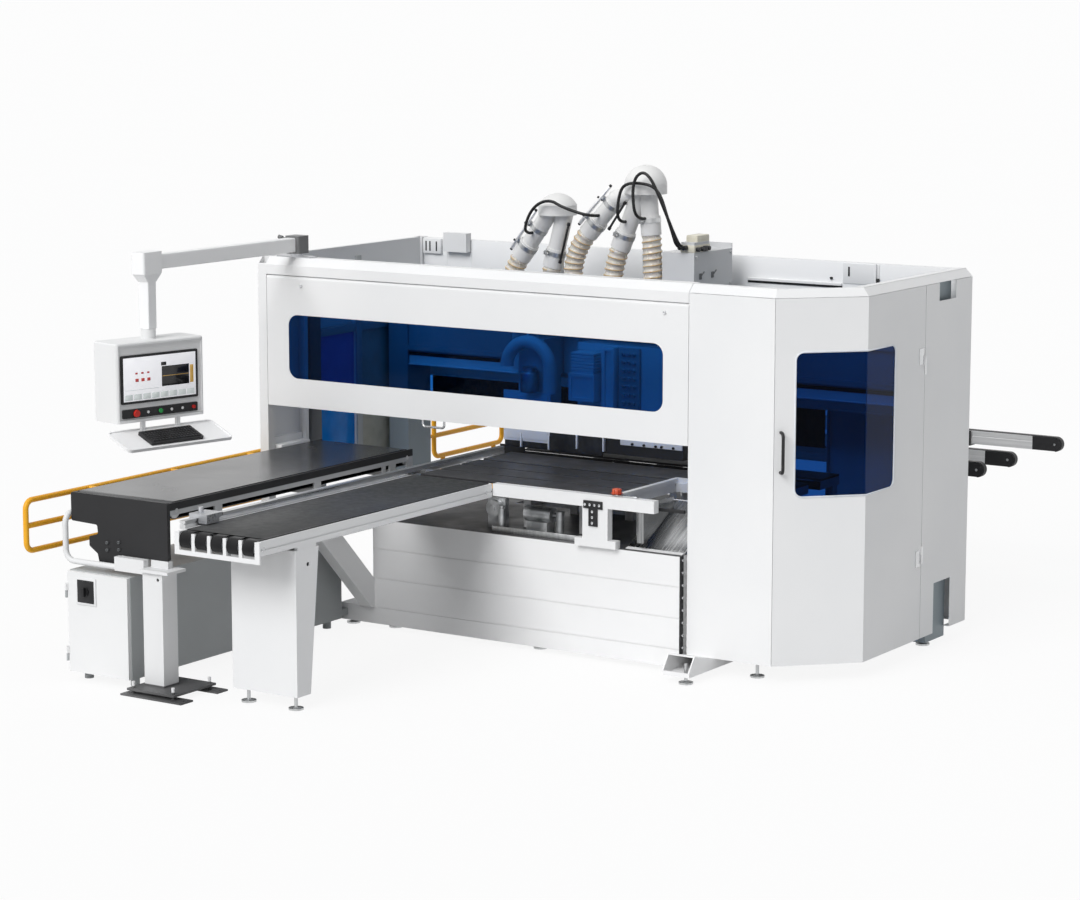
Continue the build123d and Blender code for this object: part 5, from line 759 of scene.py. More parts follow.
# %% Hose finishes
hose_film, film_tree, film_shader = new_finish("hose_film", roughness=0.22)
film_shader.inputs["Transmission Weight"].default_value = 0.25
film_shader.inputs["Subsurface Weight"].default_value = 0.15
film_shader.inputs["Subsurface Radius"].default_value = (0.02, 0.015, 0.008)
paint(film_tree, film_shader, grain(film_tree, 18.0, detail=4.0), (0.78, 0.71, 0.60), (0.88, 0.85, 0.79))
polish(film_tree, film_shader, grain(film_tree, 40.0), (0.16, 0.3))
relief(film_tree, film_shader, grain(film_tree, 90.0), strength=0.2, depth=0.0015)
hose_wire = moulded("hose_wire", (0.52, 0.36, 0.19), (0.68, 0.51, 0.31), rough=(0.2, 0.32), pebble=0.08)
print("hose finishes made")

# %% [markdown]
# The ribs of such a hose are one spiral, which shows where it bends. Rings in a row would be quicker, but
# they would look like a stack. So a profile is wound up round an upright axis with a Screw modifier, and a
# Curve modifier lays it along its line. In between, the film's two ends are cut off square.

# %% Winding and bending
HOSE_SIDES = 36
WELD = 0.0001


def lone_point(name, place):
    """A mesh of one point, left in edit mode with the point selected."""
    deselect()
    bpy.ops.mesh.primitive_plane_add(size=0.001, location=place)
    piece = named(name)
    bpy.ops.object.mode_set(mode="EDIT")
    bpy.ops.mesh.select_mode(type="VERT")
    bpy.ops.mesh.select_all(action="SELECT")
    bpy.ops.mesh.merge(type="CENTER")
    return piece


def wind(piece, pitch, turns):
    """Wind a profile up around the upright axis."""
    shaped(piece, "SCREW", axis="Z", angle=2 * math.pi, screw_offset=pitch, iterations=turns,
           steps=HOSE_SIDES, render_steps=HOSE_SIDES, use_merge_vertices=True, merge_threshold=WELD)


def cut_square(piece, low, high):
    """Cut a wound piece off square at two heights, then stand it on the origin."""
    edit_all(piece)
    cut_at((0, 0, low), UP, clear_inner=True)
    cut_at((0, 0, high), UP, clear_outer=True)
    bpy.ops.mesh.select_all(action="SELECT")
    bpy.ops.transform.translate(value=(0, 0, -low))
    bpy.ops.mesh.remove_doubles(threshold=WELD)
    bpy.ops.mesh.normals_make_consistent(inside=False)
    done()


def lay_along(piece, line):
    """Bend a piece that stands on the origin along a line."""
    return shaped(piece, "CURVE", object=line, deform_axis="POS_Z")


print("winding and bending ready")

# %% [markdown]
# The film's profile is one wave of its wall, extruded from a single point, and Solidify gives the wound
# film its thickness. A plain tube with a bump would look ribbed too, but its outline would stay straight.
# The wire's profile is a small circle, sunk a little into the crests, with its two ends closed.

# %% Film and wire
HOSE_VALLEY, HOSE_CREST, HOSE_PITCH = 0.052, 0.057, 0.036
HOSE_WALL, HOSE_WIRE, WIRE_SUNK = 0.0025, 0.0042, 0.0012
WALL_STEPS, WIRE_SIDES = 8, 8


def hose_film_along(name, line, length, turns):
    """The ribbed film of a hose, with a wave for each turn."""
    pitch = length / turns
    film = lone_point(name, (HOSE_VALLEY, 0, 0))
    swell = [0.5 * (HOSE_CREST - HOSE_VALLEY) * (1 - math.cos(2 * math.pi * step / WALL_STEPS))
             for step in range(WALL_STEPS + 1)]
    for before, after in zip(swell[:-1], swell[1:]):
        draw_out(after - before, 0, pitch / WALL_STEPS)
    done()
    wind(film, pitch, turns + 1)
    cut_square(film, pitch, pitch + length)
    shaped(film, "SOLIDIFY", thickness=HOSE_WALL, offset=-1.0)
    return lay_along(film, line)


def hose_wire_along(name, line, length, turns):
    """The spiral wire of a hose, sunk a little into the film's crests."""
    pitch = length / turns
    deselect()
    bpy.ops.mesh.primitive_circle_add(vertices=WIRE_SIDES, radius=HOSE_WIRE,
                                      location=(HOSE_CREST - WIRE_SUNK, 0, pitch / 2),
                                      rotation=(math.pi / 2, 0, 0))
    wire = named(name)
    wind(wire, pitch, turns - 1)
    edit_all(wire)
    bpy.ops.mesh.fill_holes(sides=WIRE_SIDES)
    bpy.ops.mesh.normals_make_consistent(inside=False)
    done()
    return lay_along(wire, line)


print("film and wire ready")

# %% [markdown]
# Five hoses carry on from the five telescopic pipes and bend down into the deck of the head carriage. They
# are too short for a free cord, because both ends are held a few diameters apart. Each leg gives the
# upper and lower end of its pipe and the run of its bend, and the hose's line follows from these.

# %% Ribbed hoses
PIPE_Y = 1.000
LEGS = {
    "left_long": ((-1.530, 2.430), (-1.757, 2.124), 0.165),
    "left_short": ((-1.437, 2.425), (-1.530, 2.080), 0.140),
    "right_long": ((-1.085, 2.500), (-1.280, 2.290), 0.155),
    "right_middle": ((-0.909, 2.570), (-1.058, 2.212), 0.150),
    "right_short": ((-0.868, 2.570), (-0.845, 2.300), 0.160),
}
films, wires = [], []
for name, (upper, lower, run) in LEGS.items():
    foot = Vector(lower)
    corner = foot + (foot - Vector(upper)).normalized() * run
    points = [(foot.x, PIPE_Y, foot.y), (corner.x, PIPE_Y, corner.y), (corner.x, PIPE_Y, corner.y - run)]
    line = line_through(name + "_hose_line", points)
    length = line_length(line)
    turns = round(length / HOSE_PITCH)
    films.append(hose_film_along(name + "_film", line, length, turns))
    wires.append(hose_wire_along(name + "_wire", line, length, turns))
    bpy.data.objects.remove(line)
    print(name, "hose", round(length, 3), "m,", turns, "ribs")
hoses = settle(joined("hose_films", films), "head", hose_film, sharp=60.0)
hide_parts("dust_hoses")
settle(joined("hose_wires", wires), "head", hose_wire, sharp=60.0)

# %% [markdown]
# Clamp bands hold the telescopic pipes. A band is a ring of steel strip with two ears and a pin that
# closes it. A torus would be round in section, so the band starts as an open cylinder and Solidify
# gives it the strip's thickness. It is made at the origin, ready to be copied.

# %% Clamp band
PIPE_RADIUS, SLEEVE_RADIUS = 0.052, 0.060
BAND_WIDTH, BAND_WALL, EAR = 0.026, 0.003, 0.024


def clamp_band(radius):
    """A band round the upright axis, with its ears towards the front."""
    deselect()
    bpy.ops.mesh.primitive_cylinder_add(vertices=48, radius=radius, depth=BAND_WIDTH, location=(0, 0, 0),
                                        end_fill_type="NOTHING")
    ring = shaped(named("band_ring"), "SOLIDIFY", thickness=BAND_WALL, offset=1.0)
    ears = [slab("ear", (side - 0.003, side + 0.003), (-radius - EAR, -radius + 0.001),
                 (-BAND_WIDTH / 2, BAND_WIDTH / 2), edge=0.001, base=FLAT) for side in (-0.007, 0.007)]
    pin_y = -radius - 0.6 * EAR
    pin = bar("ear_pin", (-0.024, pin_y, 0), (0.020, pin_y, 0), radius=0.005, sides=12, edge=0.001, base=FLAT)
    return joined("clamp_band", [ring, *ears, pin])


def band_turn(down, round_angle):
    """Turn of a band whose axis follows a pipe, with the ears at an angle round the pipe from the front."""
    along = Vector((down.x, 0.0, down.y))
    axes = Matrix((REAR.cross(along), REAR, along)).transposed()
    return (axes @ Matrix.Rotation(round_angle, 3, "Z")).to_quaternion()


pipe_band, sleeve_band = clamp_band(PIPE_RADIUS), clamp_band(SLEEVE_RADIUS)
print("bands for pipe and sleeve modelled")

# %% [markdown]
# Every sleeve has a band near its lower end. The two long pipes have a second band, and a guide rod with
# black knobs and lugs runs along the ears of both. A tilted band is awkward to model in place, so
# copies of the upright one are turned along the legs, and they follow if a leg is changed. Two slim rods
# beside the shorter pipes have places of their own.

# %% Pipe bands and guide rods
BAND_UP = 0.085
SECOND_BAND = {"left_long": 0.42, "right_long": 0.16}
GUIDED_EARS, PLAIN_EARS = math.radians(62.0), math.radians(20.0)
ROD_REACH = SLEEVE_RADIUS + 0.016
SLIM_RODS = [((-1.105, 0.955, 2.330), (-1.000, 0.955, 2.482)),
             ((-1.392, 0.960, 2.340), (-1.452, 0.960, 2.115))]


def on_pipe(place):
    """A place on the upright plane of the pipes."""
    return spot(place.x, PIPE_Y, place.y)


bands, rods, knobs = [], [], []
for name, (upper, lower, _) in LEGS.items():
    top, foot = Vector(upper), Vector(lower)
    down = (foot - top).normalized()
    turn = band_turn(down, GUIDED_EARS if name in SECOND_BAND else PLAIN_EARS)
    bands.append(copy_at(sleeve_band, on_pipe(foot - down * BAND_UP), turn))
    if name in SECOND_BAND:
        high = top + (foot - top) * SECOND_BAND[name]
        bands.append(copy_at(pipe_band, on_pipe(high), turn))
        ear_way = turn @ FRONT
        axis = Vector((down.x, 0.0, down.y))
        ends = [on_pipe(high) + ear_way * ROD_REACH - axis * BAND_UP,
                on_pipe(foot) + ear_way * ROD_REACH - axis * 0.02]
        rods.append(bar("guide_rod", *ends, radius=0.011, sides=18, edge=0.001, base=FLAT))
        for end, way in zip(ends, (-axis, axis)):
            knobs.append(bar("rod_knob", end - way * 0.004, end + way * 0.012, radius=0.009, sides=16,
                             edge=0.003, base=FLAT))
        for place in (ends[0] + axis * 0.10, ends[1] - axis * 0.055):
            knobs.append(bar("rod_lug", place - ear_way * 0.02, place + ear_way * 0.02, radius=0.007,
                             sides=14, edge=0.002, base=FLAT))
for pattern in (pipe_band, sleeve_band):
    bpy.data.objects.remove(pattern)
for start, end in SLIM_RODS:
    knobs.append(bar("slim_rod", start, end, radius=0.007, sides=14, edge=0.001))
    way = (Vector(end) - Vector(start)).normalized() * 0.010
    for place in (Vector(start), Vector(end)):
        knobs.append(bar("slim_rod_end", place - way, place + way, radius=0.010, sides=14, edge=0.003))
settle(joined("pipe_bands", bands), "head", zinc_steel)
settle(joined("pipe_guide_rods", rods), "head", arm_metal)
settle(joined("pipe_knobs", knobs), "head", black_plastic)
print("bands", len(bands), "rods", len(rods))

# %% [markdown]
# The junction box on the tower is a cream moulding with a lid, and has black cable glands on its front and
# its right side. The tower's right side carries two latches and its cover screws. They could be carved out
# in detail, but they are a few centimetres across, so blocks and bars with eased edges are enough.

# %% Junction box and tower fittings
TOWER_SIDE = -0.5558
CABLE_LEVEL, SIDE_LEVEL = 2.238, 2.228
lid = slab("junction_lid", (-0.654, -0.556), (1.004, 1.186), (2.2095, 2.252), edge=0.006)
step = slab("junction_step", (-0.644, -0.566), (1.054, 1.196), (2.2525, 2.306), edge=0.008)
settle(joined("junction_cover", [lid, step]), "head", cream_plastic)
glands = [bar("front_gland", (x, 1.006, CABLE_LEVEL), (x, 0.972, CABLE_LEVEL), radius=0.014, sides=18,
              edge=0.002) for x in (-0.640, -0.612)]
glands += [bar("side_gland", (-0.558, y, SIDE_LEVEL), (-0.536, y, SIDE_LEVEL), radius=0.013, sides=16,
               edge=0.002) for y in (1.03, 1.08, 1.15)]
glands.append(slab("socket", (-0.557, -0.540), (1.10, 1.135), (2.212, 2.244), edge=0.003))
settle(joined("junction_glands", glands), "head", black_plastic)
latches = []
for y in (1.07, 1.21):
    latches.append(slab("latch", (TOWER_SIDE, -0.550), (y - 0.013, y + 0.013), (2.050, 2.086)))
    latches.append(bar("latch_lever", (-0.549, y + 0.004, 2.072), (-0.546, y + 0.030, 2.094), radius=0.004,
                       sides=12, edge=0.0008))
settle(joined("tower_latches", latches), "head", drive_coat)
screws("tower_screws", [(TOWER_SIDE, y, z) for y in (1.02, 1.42) for z in (1.85, 2.0, 2.185)], RIGHT,
       "head", zinc_steel)
print("junction box and tower fitted")

# %% [markdown]
# The front beam stands on a prop, held by a black T-shaped plate with pale screws. Two crossed blocks
# would leave hidden faces inside, so the T starts as its top bar. Two cuts mark where the stem begins, and
# the middle of the lower face is drawn down.

# %% T-plate
BEAM_FACE = limits("table_frame")[1][0]
PLATE_FACE, SEAT = BEAM_FACE - 0.008, 0.0002
STEM, STEM_DROP = (-0.590, -0.532), 0.099
t_plate = raw_slab("t_plate", (-0.624, -0.500), (PLATE_FACE, BEAM_FACE - SEAT), (0.872, 0.916))
edit_all(t_plate)
for x in STEM:
    cut_at(spot(x, 0, 0), RIGHT)
done()
pick(t_plate, lambda middle, normal: normal.z < -0.9 and STEM[0] < middle.x - SEAM.x < STEM[1])
draw_out(0, 0, -STEM_DROP)
done()
settle(ease(t_plate, 0.0012), "machine", black_coat)
plate_screws = [(x, PLATE_FACE, 0.894) for x in (-0.609, -0.577, -0.546, -0.515)]
plate_screws += [(-0.561, PLATE_FACE, z) for z in (0.856, 0.824, 0.792)]
screws("t_plate_screws", plate_screws, FRONT, "machine", bright_bar)
print("T-plate with", len(plate_screws), "screws")

# %% [markdown]
# A red clamp knob stands on the front beam, right of the T-plate. Its flutes could be cut with a ring of
# small cylinders, but it is simpler to push every third side face of the knob inwards. Its top is crowned
# in two insets, and a pale arm reaches to the right from its stem.

# %% Clamp knob
KNOB_X, KNOB_Y, KNOB_Z = -0.425, -0.048, 0.9755
FLUTE_STEP, FLUTE_SIDE = 45.0, 15.0
ON_TABLE = limits("table_strips")[2][1] + SEAT
centre = spot(KNOB_X, KNOB_Y, KNOB_Z)
deselect()
bpy.ops.mesh.primitive_cylinder_add(vertices=24, radius=0.027, depth=0.026, location=centre)
knob = named("clamp_knob")


def flute(middle, normal):
    """A test for every third side face."""
    turn = math.degrees(math.atan2(middle.y - centre.y, middle.x - centre.x)) % FLUTE_STEP
    return abs(normal.z) < 0.5 and turn < FLUTE_SIDE


pick(knob, flute)
bpy.ops.mesh.inset(thickness=0.0006, use_individual=True)
bpy.ops.transform.shrink_fatten(value=-0.004)
done()
pick(knob, facing(UP))
for inset, rise in ((0.004, 0.005), (0.012, 0.003)):
    bpy.ops.mesh.inset(thickness=inset)
    bpy.ops.transform.translate(value=(0, 0, rise))
done()
settle(knob, "machine", orange_plastic)
stem = bar("knob_stem", (KNOB_X, KNOB_Y, ON_TABLE), (KNOB_X, KNOB_Y, 0.964), radius=0.016, sides=20,
           edge=0.002)
arm = slab("knob_arm", (KNOB_X + 0.012, -0.290), (-0.060, -0.034), (ON_TABLE, 0.960), edge=0.003)
settle(joined("clamp_base", [stem, arm]), "machine", bright_bar)
print("clamp knob made")

# %% [markdown]
# Right of the prop a bare steel chute slopes down to the front, with a black bar across its mouth and a
# folded side plate. Its liner could be turned by hand, but it lies on a slope of the bed, so it is
# modelled flat in a turned frame. The side plate's fold is drawn out of its front edge, and its lower edge
# is cut along the same slope.

# %% Chute
FIT = 0.0005
CHUTE_SLOPE = math.atan2(0.2128, 0.405)
CHUTE = Matrix.Translation(spot(0, 0.015, 0.6632)) @ Matrix.Rotation(CHUTE_SLOPE, 4, "X")
CHEEK_FRONT, CHEEK_LEAF, CHEEK_FOLD = -0.036, 0.002, 0.040
chute = slab("chute_liner", (-0.388, -0.030), (0.0, 0.447), (FIT, 0.0025), edge=0.0008, base=CHUTE)
settle(chute, "machine", chute_steel)
cheek = raw_slab("chute_cheek", (-0.3005, -0.2965), (CHEEK_FRONT, 0.350), (0.70, 0.905))
pick(cheek, facing(FRONT))
draw_out(0, -CHEEK_LEAF, 0)
done()
pick(cheek, lambda middle, normal: normal.x > 0.9 and middle.y - SEAM.y < CHEEK_FRONT - 0.0001)
draw_out(CHEEK_FOLD, 0, 0)
cut_at(CHUTE @ Vector((0, 0, 0.003)), CHUTE.to_3x3() @ UP, clear_inner=True, use_fill=True)
done()
settle(ease(cheek, 0.0006), "machine", chute_steel)
mouth_bar = slab("chute_bar", (-0.2960, -0.0255), (0.008, 0.024), (0.882, 0.901), edge=0.003)
settle(mouth_bar, "machine", black_coat)
print("chute made")

# %% [markdown]
# The bed's front panel ends in a bolted edge beside the cabinet, whose shade is painted as a black plate
# under its screws. An angle bar lies on the bed under the front beam, and a black apron closes the view
# through the drilling slot in the table as painted shade. The angle bar could be two blocks, but its
# upright leg is drawn up from a strip of a flat block's top, so both legs are one closed shape.

# %% Bolted edge, bed rail and slot apron
EDGE_FACE = -0.0205
EDGE_LOWEST, EDGE_STEP, EDGE_COUNT = 0.14, 0.07, 8
RAIL_FRONT, RAIL_LEG, RAIL_RISE = 0.010, 0.018, 0.020
APRON = (1.0705, 1.0745)
# A black plate on the panel's end face is painted shade for that face.
edge_shade_plate = slab("bolted_edge_shade", (-0.0248, EDGE_FACE), (-0.0385, -0.0015), (0.102, 0.652), edge=0.001)
settle(edge_shade_plate, "machine", black_coat)
edge_screws = [(EDGE_FACE, -0.020, EDGE_LOWEST + EDGE_STEP * step) for step in range(EDGE_COUNT)]
screws("edge_screws", edge_screws, RIGHT, "machine", bright_bar)
bed_rail = raw_slab("bed_rail", (-1.300, -0.668), (RAIL_FRONT, 0.050), (BED_TOP + FIT, BED_TOP + 0.013))
edit_all(bed_rail)
cut_at(spot(0, RAIL_LEG, 0), REAR)
done()
pick(bed_rail, lambda middle, normal: normal.z > 0.9 and middle.y - SEAM.y < RAIL_LEG)
draw_out(0, 0, RAIL_RISE)
done()
settle(ease(bed_rail, 0.001), "machine", zinc_steel)
# The black apron is painted shade for the dark under the drilling slot.
apron = [slab("apron_run", (-1.776, 0.248), APRON, (0.886, 0.9372), edge=0.001),
         slab("apron_end", (-1.960, -1.7765), APRON, (0.886, 0.966), edge=0.001)]
settle(joined("slot_shade_apron", apron), "machine", black_coat)
print("bolted edge, bed rail and apron made")

# %% [markdown]
# Brush curtains hang from the drilling heads and keep the dust in. Hair would be the soft way to make
# them, but hair is lost on export. One tuft is a block drawn narrower at its foot, and an Array modifier
# sets the row.

# %% Brush curtains
RAM_FACE = limits("ram_left")[1][0] - FIT
SKIRT_FACE = limits("ram_right")[1][0] - FIT
TUFT_PITCH, TUFT_WIDTH, TUFT_FOOT = 0.006, 0.0054, 0.012


def row_of(piece, count, pitch):
    """Repeat a piece to the right."""
    return shaped(piece, "ARRAY", count=count, use_relative_offset=False, use_constant_offset=True,
                  constant_offset_displace=(pitch, 0, 0))


def curtain(name, x, face, z, body):
    """A row of tufts between two limits of x, hanging in front of a face."""
    tuft = raw_slab(name, (x[0], x[0] + TUFT_WIDTH), (face - 0.010, face - 0.001), z)
    pick(tuft, facing(DOWN))
    draw_out(0, 0, -TUFT_FOOT)
    bpy.ops.transform.resize(value=(0.5, 0.4, 1.0))
    done()
    row_of(tuft, int((x[1] - x[0]) / TUFT_PITCH), TUFT_PITCH)
    settle(tuft, body, brush_fibre)


curtain("left_curtain", (-1.815, -1.487), RAM_FACE, (0.998, 1.028), "ram_left")
curtain("right_curtain", (-1.479, -1.102), SKIRT_FACE, (0.998, 1.120), "ram_right")
print("curtains hung")

# %% [markdown]
# A white shield with a raised middle covers the left head over its curtain, and upright white plates part
# the curtains into bays. A low shield with dark screws closes the right head. The raised middle is
# an inset drawn forwards, as a pressed sheet has it.

# %% Shields and bay plates
BAY_HALF = 0.005
SHIELD_FACE, LOW_SHIELD_FACE = 0.9075, 0.8905
shield = raw_slab("ram_shield", (-1.822, -1.486), (SHIELD_FACE, RAM_FACE), (1.026, 1.330))
pick(shield, facing(FRONT))
bpy.ops.mesh.inset(thickness=0.016)
draw_out(0, -0.006, 0)
done()
settle(ease(shield, 0.0015), "ram_left", white_coat)
left_bays = [slab("bay_plate", (x - BAY_HALF, x + BAY_HALF), (0.893, SHIELD_FACE), (0.992, 1.075),
                  edge=0.0015) for x in (-1.690, -1.492)]
settle(joined("left_bay_plates", left_bays), "ram_left", white_coat)
right_bays = [slab("bay_plate", (x - BAY_HALF, x + BAY_HALF), (0.876, SKIRT_FACE), (1.018, 1.128),
                   edge=0.0015) for x in (-1.282, -1.096)]
right_bays.append(slab("right_shield", (-0.985, -0.563), (LOW_SHIELD_FACE, SKIRT_FACE), (1.066, 1.140)))
settle(joined("right_bay_plates", right_bays), "ram_right", white_coat)
screws("right_shield_screws", [(x, LOW_SHIELD_FACE, 1.077) for x in (-0.90, -0.82, -0.74, -0.70, -0.62)],
       FRONT, "ram_right", black_plastic)
print("shields and bay plates made")

# %% [markdown]
# Behind the tinted hood an arched dust duct shows as a paler shape. It could be a curve with a bevel, but
# a circle drawn up, spun round and drawn down keeps its bend round and its wall even. A hanger ties it to
# the head's deck.

# %% Dust duct inside the hood
DUCT_LEGS, DUCT_Y, DUCT_FOOT, DUCT_SHOULDER = (-1.758, -1.451), 0.850, 1.34, 1.485
DUCT_MIDDLE = sum(DUCT_LEGS) / 2
deselect()
bpy.ops.mesh.primitive_circle_add(vertices=28, radius=0.040, location=spot(DUCT_LEGS[0], DUCT_Y, DUCT_FOOT))
duct = named("duct_tube")
edit_all(duct)
draw_out(0, 0, DUCT_SHOULDER - DUCT_FOOT)
bpy.ops.mesh.spin(steps=20, angle=math.pi, center=spot(DUCT_MIDDLE, DUCT_Y, DUCT_SHOULDER), axis=FRONT)
draw_out(0, 0, DUCT_FOOT - DUCT_SHOULDER)
bpy.ops.mesh.select_all(action="SELECT")
bpy.ops.mesh.remove_doubles(threshold=WELD)
bpy.ops.mesh.normals_make_consistent(inside=False)
done()
shaped(duct, "SOLIDIFY", thickness=0.003, offset=-1.0)
hanger = [bar("hanger", (DUCT_MIDDLE, DUCT_Y, 1.66), (DUCT_MIDDLE, DUCT_Y, 1.803), radius=0.010, sides=16,
              edge=0.001),
          slab("hanger_foot", (-1.64, -1.57), (0.83, 0.95), (1.8005, 1.806), edge=0.0015)]
settle(joined("dust_duct", [duct, *hanger]), "head", pipe_coat, sharp=60.0)
print("duct made")

# %% [markdown]
# The heads carry more that shows through the hood as pale shapes: a finned motor, a slide post and
# a perforated drill plate on the right, and a round motor on the left. The fins could be loose plates, but
# the motor's top is drawn up step by step, out for a fin and in for a gap, so the motor stays one closed
# shape.

# %% Motors, post and drill plate
FINS, FLARE = 6, 1.12
MOTOR_TOP = 1.480
PLATE_FRONT = 0.898
PORT_LOWEST, PORT_STEP, PORT_ROWS, PORT_COLUMNS = 1.22, 0.048, 9, (-0.966, -0.931, -0.896)
motor = raw_slab("ram_motor", (-1.288, -1.112), (0.800, RAM_FACE), (1.318, MOTOR_TOP))
pick(motor, facing(UP))
bpy.ops.mesh.inset(thickness=0.016)
draw_out(0, 0, 0.012)
for _ in range(FINS):
    draw_out(0, 0, 0.006)
    bpy.ops.transform.resize(value=(FLARE, FLARE, 1.0))
    draw_out(0, 0, 0.010)
    draw_out(0, 0, 0.003)
    bpy.ops.transform.resize(value=(1 / FLARE, 1 / FLARE, 1.0))
done()
pick(motor, lambda middle, normal: normal.y < -0.9 and middle.z < MOTOR_TOP)
bpy.ops.mesh.inset(thickness=0.020)
draw_out(0, 0.008, 0)
done()
settle(motor, "ram_right", white_coat)
post = raw_slab("ram_post", (-1.098, -1.014), (0.860, RAM_FACE), (1.150, 1.640))
pick(post, facing(FRONT))
bpy.ops.mesh.inset(thickness=0.022)
draw_out(0, 0.014, 0)
done()
settle(ease(post, 0.0015), "ram_right", white_coat)
drill_plate = slab("drill_plate", (-1.002, -0.860), (PLATE_FRONT, RAM_FACE), (1.150, 1.640), edge=0.003)
settle(drill_plate, "ram_right", grey_coat)
ports = [(x, PLATE_FRONT, PORT_LOWEST + PORT_STEP * step) for step in range(PORT_ROWS) for x in PORT_COLUMNS]
screws("drill_plate_screws", ports, FRONT, "ram_right", zinc_steel, radius=0.011)
left_motor = bar("left_ram_motor", (-1.605, 0.862, 1.335), (-1.605, 0.862, 1.455), radius=0.055, sides=32,
                 edge=0.008)
pick(left_motor, facing(UP))
bpy.ops.mesh.inset(thickness=0.012)
draw_out(0, 0, 0.030)
done()
settle(left_motor, "ram_left", cast_metal)
print("heads furnished, with", FINS, "fins and", len(ports), "ports")

# %% [markdown]
# The beam that carries the heads has a ledge along its lower edge and a dark rack above it. Through the
# window these are long pale and dark lines. The ledge could be a row of loose strips, but it is folded
# sheet, so its lips are drawn out of one flat strip, and only its flange is joined on.

# %% Beam ledge and rack
BEAM = (-2.752, 0.708)
ledge = raw_slab("ledge_sheet", BEAM, (1.2345, 1.2405), (1.386, 1.4395))
pick(ledge, facing(FRONT))
draw_out(0, -0.004, 0)
done()
pick(ledge, facing(DOWN))
bpy.ops.mesh.inset(thickness=0.0004)
draw_out(0, 0, -0.004)
done()
flange = slab("ledge_flange", BEAM, (1.214, 1.2345), (1.383, 1.389), edge=0.001)
settle(joined("beam_ledge", [ledge, flange]), "machine", white_coat)
rack = slab("beam_rack", BEAM, (1.2268, 1.2298), (1.4415, 1.4625), edge=0.0005)
settle(rack, "machine", black_coat)
print("ledge and rack made")

# %% [markdown]
# The left end wall has recessed bays on its inner face, with a blue pane and a smoked pane in them, grey
# rails and a mullion at the panes, a dark post beside them and a white frame further forward. All are flat
# stock, so they are blocks that are measured from the wall's inner face.

# %% Left wall panes and frames
WALL_FACE = limits("left_wall")[0][1]
ON_WALL = WALL_FACE + FIT
PANE = (WALL_FACE - 0.018, WALL_FACE - 0.013)
FRONT_BAY, REAR_BAY, PANE_HEIGHT = (0.546, 0.897), (0.956, 1.459), (0.746, 1.610)
POST_HEIGHT = (0.702, 2.08)
settle(slab("blue_pane", PANE, FRONT_BAY, PANE_HEIGHT, edge=0.001), "machine", blue_pane)
settle(slab("smoked_pane", PANE, REAR_BAY, PANE_HEIGHT, edge=0.001), "machine", olive_pane)
wall_post = slab("wall_post", (ON_WALL, WALL_FACE + 0.022), (0.415, 0.520), POST_HEIGHT, edge=0.003)
settle(wall_post, "machine", drive_coat)
frames = [slab("pane_rail", (WALL_FACE - 0.025, WALL_FACE + 0.006), bay, (1.611, 1.660))
          for bay in (FRONT_BAY, REAR_BAY)]
frames.append(slab("pane_mullion", (ON_WALL, WALL_FACE + 0.012), (0.900, 0.953), POST_HEIGHT))
settle(joined("pane_frames", frames), "machine", grey_coat)
# The bay frame's brighter white is painted light against the shade on the left wall.
bay_frame = [slab("bay_post", (ON_WALL, WALL_FACE + 0.024), (0.350, 0.386), (0.960, 2.08)),
             slab("bay_sill", (ON_WALL, WALL_FACE + 0.060), (0.070, 0.349), (0.985, 1.010))]
settle(joined("bay_frame", bay_frame), "machine", painted_light_coat)
print("left wall furnished")

# %% [markdown]
# The inside of the rear wall is closed with a pale liner that clears the terminal box; its white is
# brighter than the white coat, as painted light against the shade inside the wall. On its right end sit a
# small plate with a black slot, a thin post, a cable stop and a rail over a dark gap, and on its left end a
# slotted bracket. The slots and the gap could be cut out, but at this distance thin black plates, painted
# shade for the dark inside them, look the same.

# %% Rear wall liner
LINER, LINER_TOP = (1.6105, 1.6140), 2.1432
LINER_FRONT = 1.6100
LINER_SHEETS = (((-2.541, 0.838), LINER_TOP), ((-2.904, -2.7225), LINER_TOP), ((-2.722, -2.5415), 2.064))
RAIL_RUN = (-0.540, 0.090)
SLOT_EDGE = 0.0003
# The liner's brighter white is painted light against the shade inside the wall.
liner = [slab("liner", x, LINER, (1.850, top), edge=0.001) for x, top in LINER_SHEETS]
settle(joined("rear_liner", liner), "machine", painted_light_coat)
plates = [slab("liner_plate", (0.095, 0.330), (1.6050, LINER_FRONT), (2.020, 2.138), edge=0.0015),
          slab("liner_post", (0.304, 0.316), (1.5900, 1.6045), (1.960, 2.142)),
          slab("liner_rail", RAIL_RUN, (1.5960, LINER_FRONT), (2.004, 2.020)),
          slab("bracket", (-2.900, -2.760), (1.5900, LINER_FRONT), (2.046, 2.140), edge=0.003)]
settle(joined("liner_plates", plates), "machine", white_coat)
# The black plates for the slots and the gap are painted shade; the post stop and the cable stop are black
# parts.
slots = [slab("plate_slot", (0.128, 0.140), (1.6040, 1.6049), (2.062, 2.118), edge=SLOT_EDGE),
         slab("post_stop", (0.318, 0.334), (1.5900, 1.6045), (2.010, 2.060)),
         slab("liner_gap", RAIL_RUN, (1.6060, LINER_FRONT), (1.990, 2.0035), edge=0.0005)]
slots += [slab("bracket_slot", (x, x + 0.010), (1.5890, 1.5899), (2.062, 2.124), edge=SLOT_EDGE)
          for x in (-2.880, -2.850, -2.800)]
slots.append(bar("cable_stop", (0.020, LINER_FRONT, 2.046), (0.020, 1.5980, 2.046), radius=0.008, sides=16,
                 edge=0.001))
settle(joined("liner_slots", slots), "machine", black_plastic)
print("rear wall lined")

# %% [markdown]
# Drilled panels leave through the long opening under the rear wall, and a row of dark rubber strips hangs
# there to keep dust and light out. One sheet would look stiff, so one strip is modelled and an Array
# modifier repeats it along the wall's lower edge. The strips end 80 mm above the table, and panels pass
# below them.

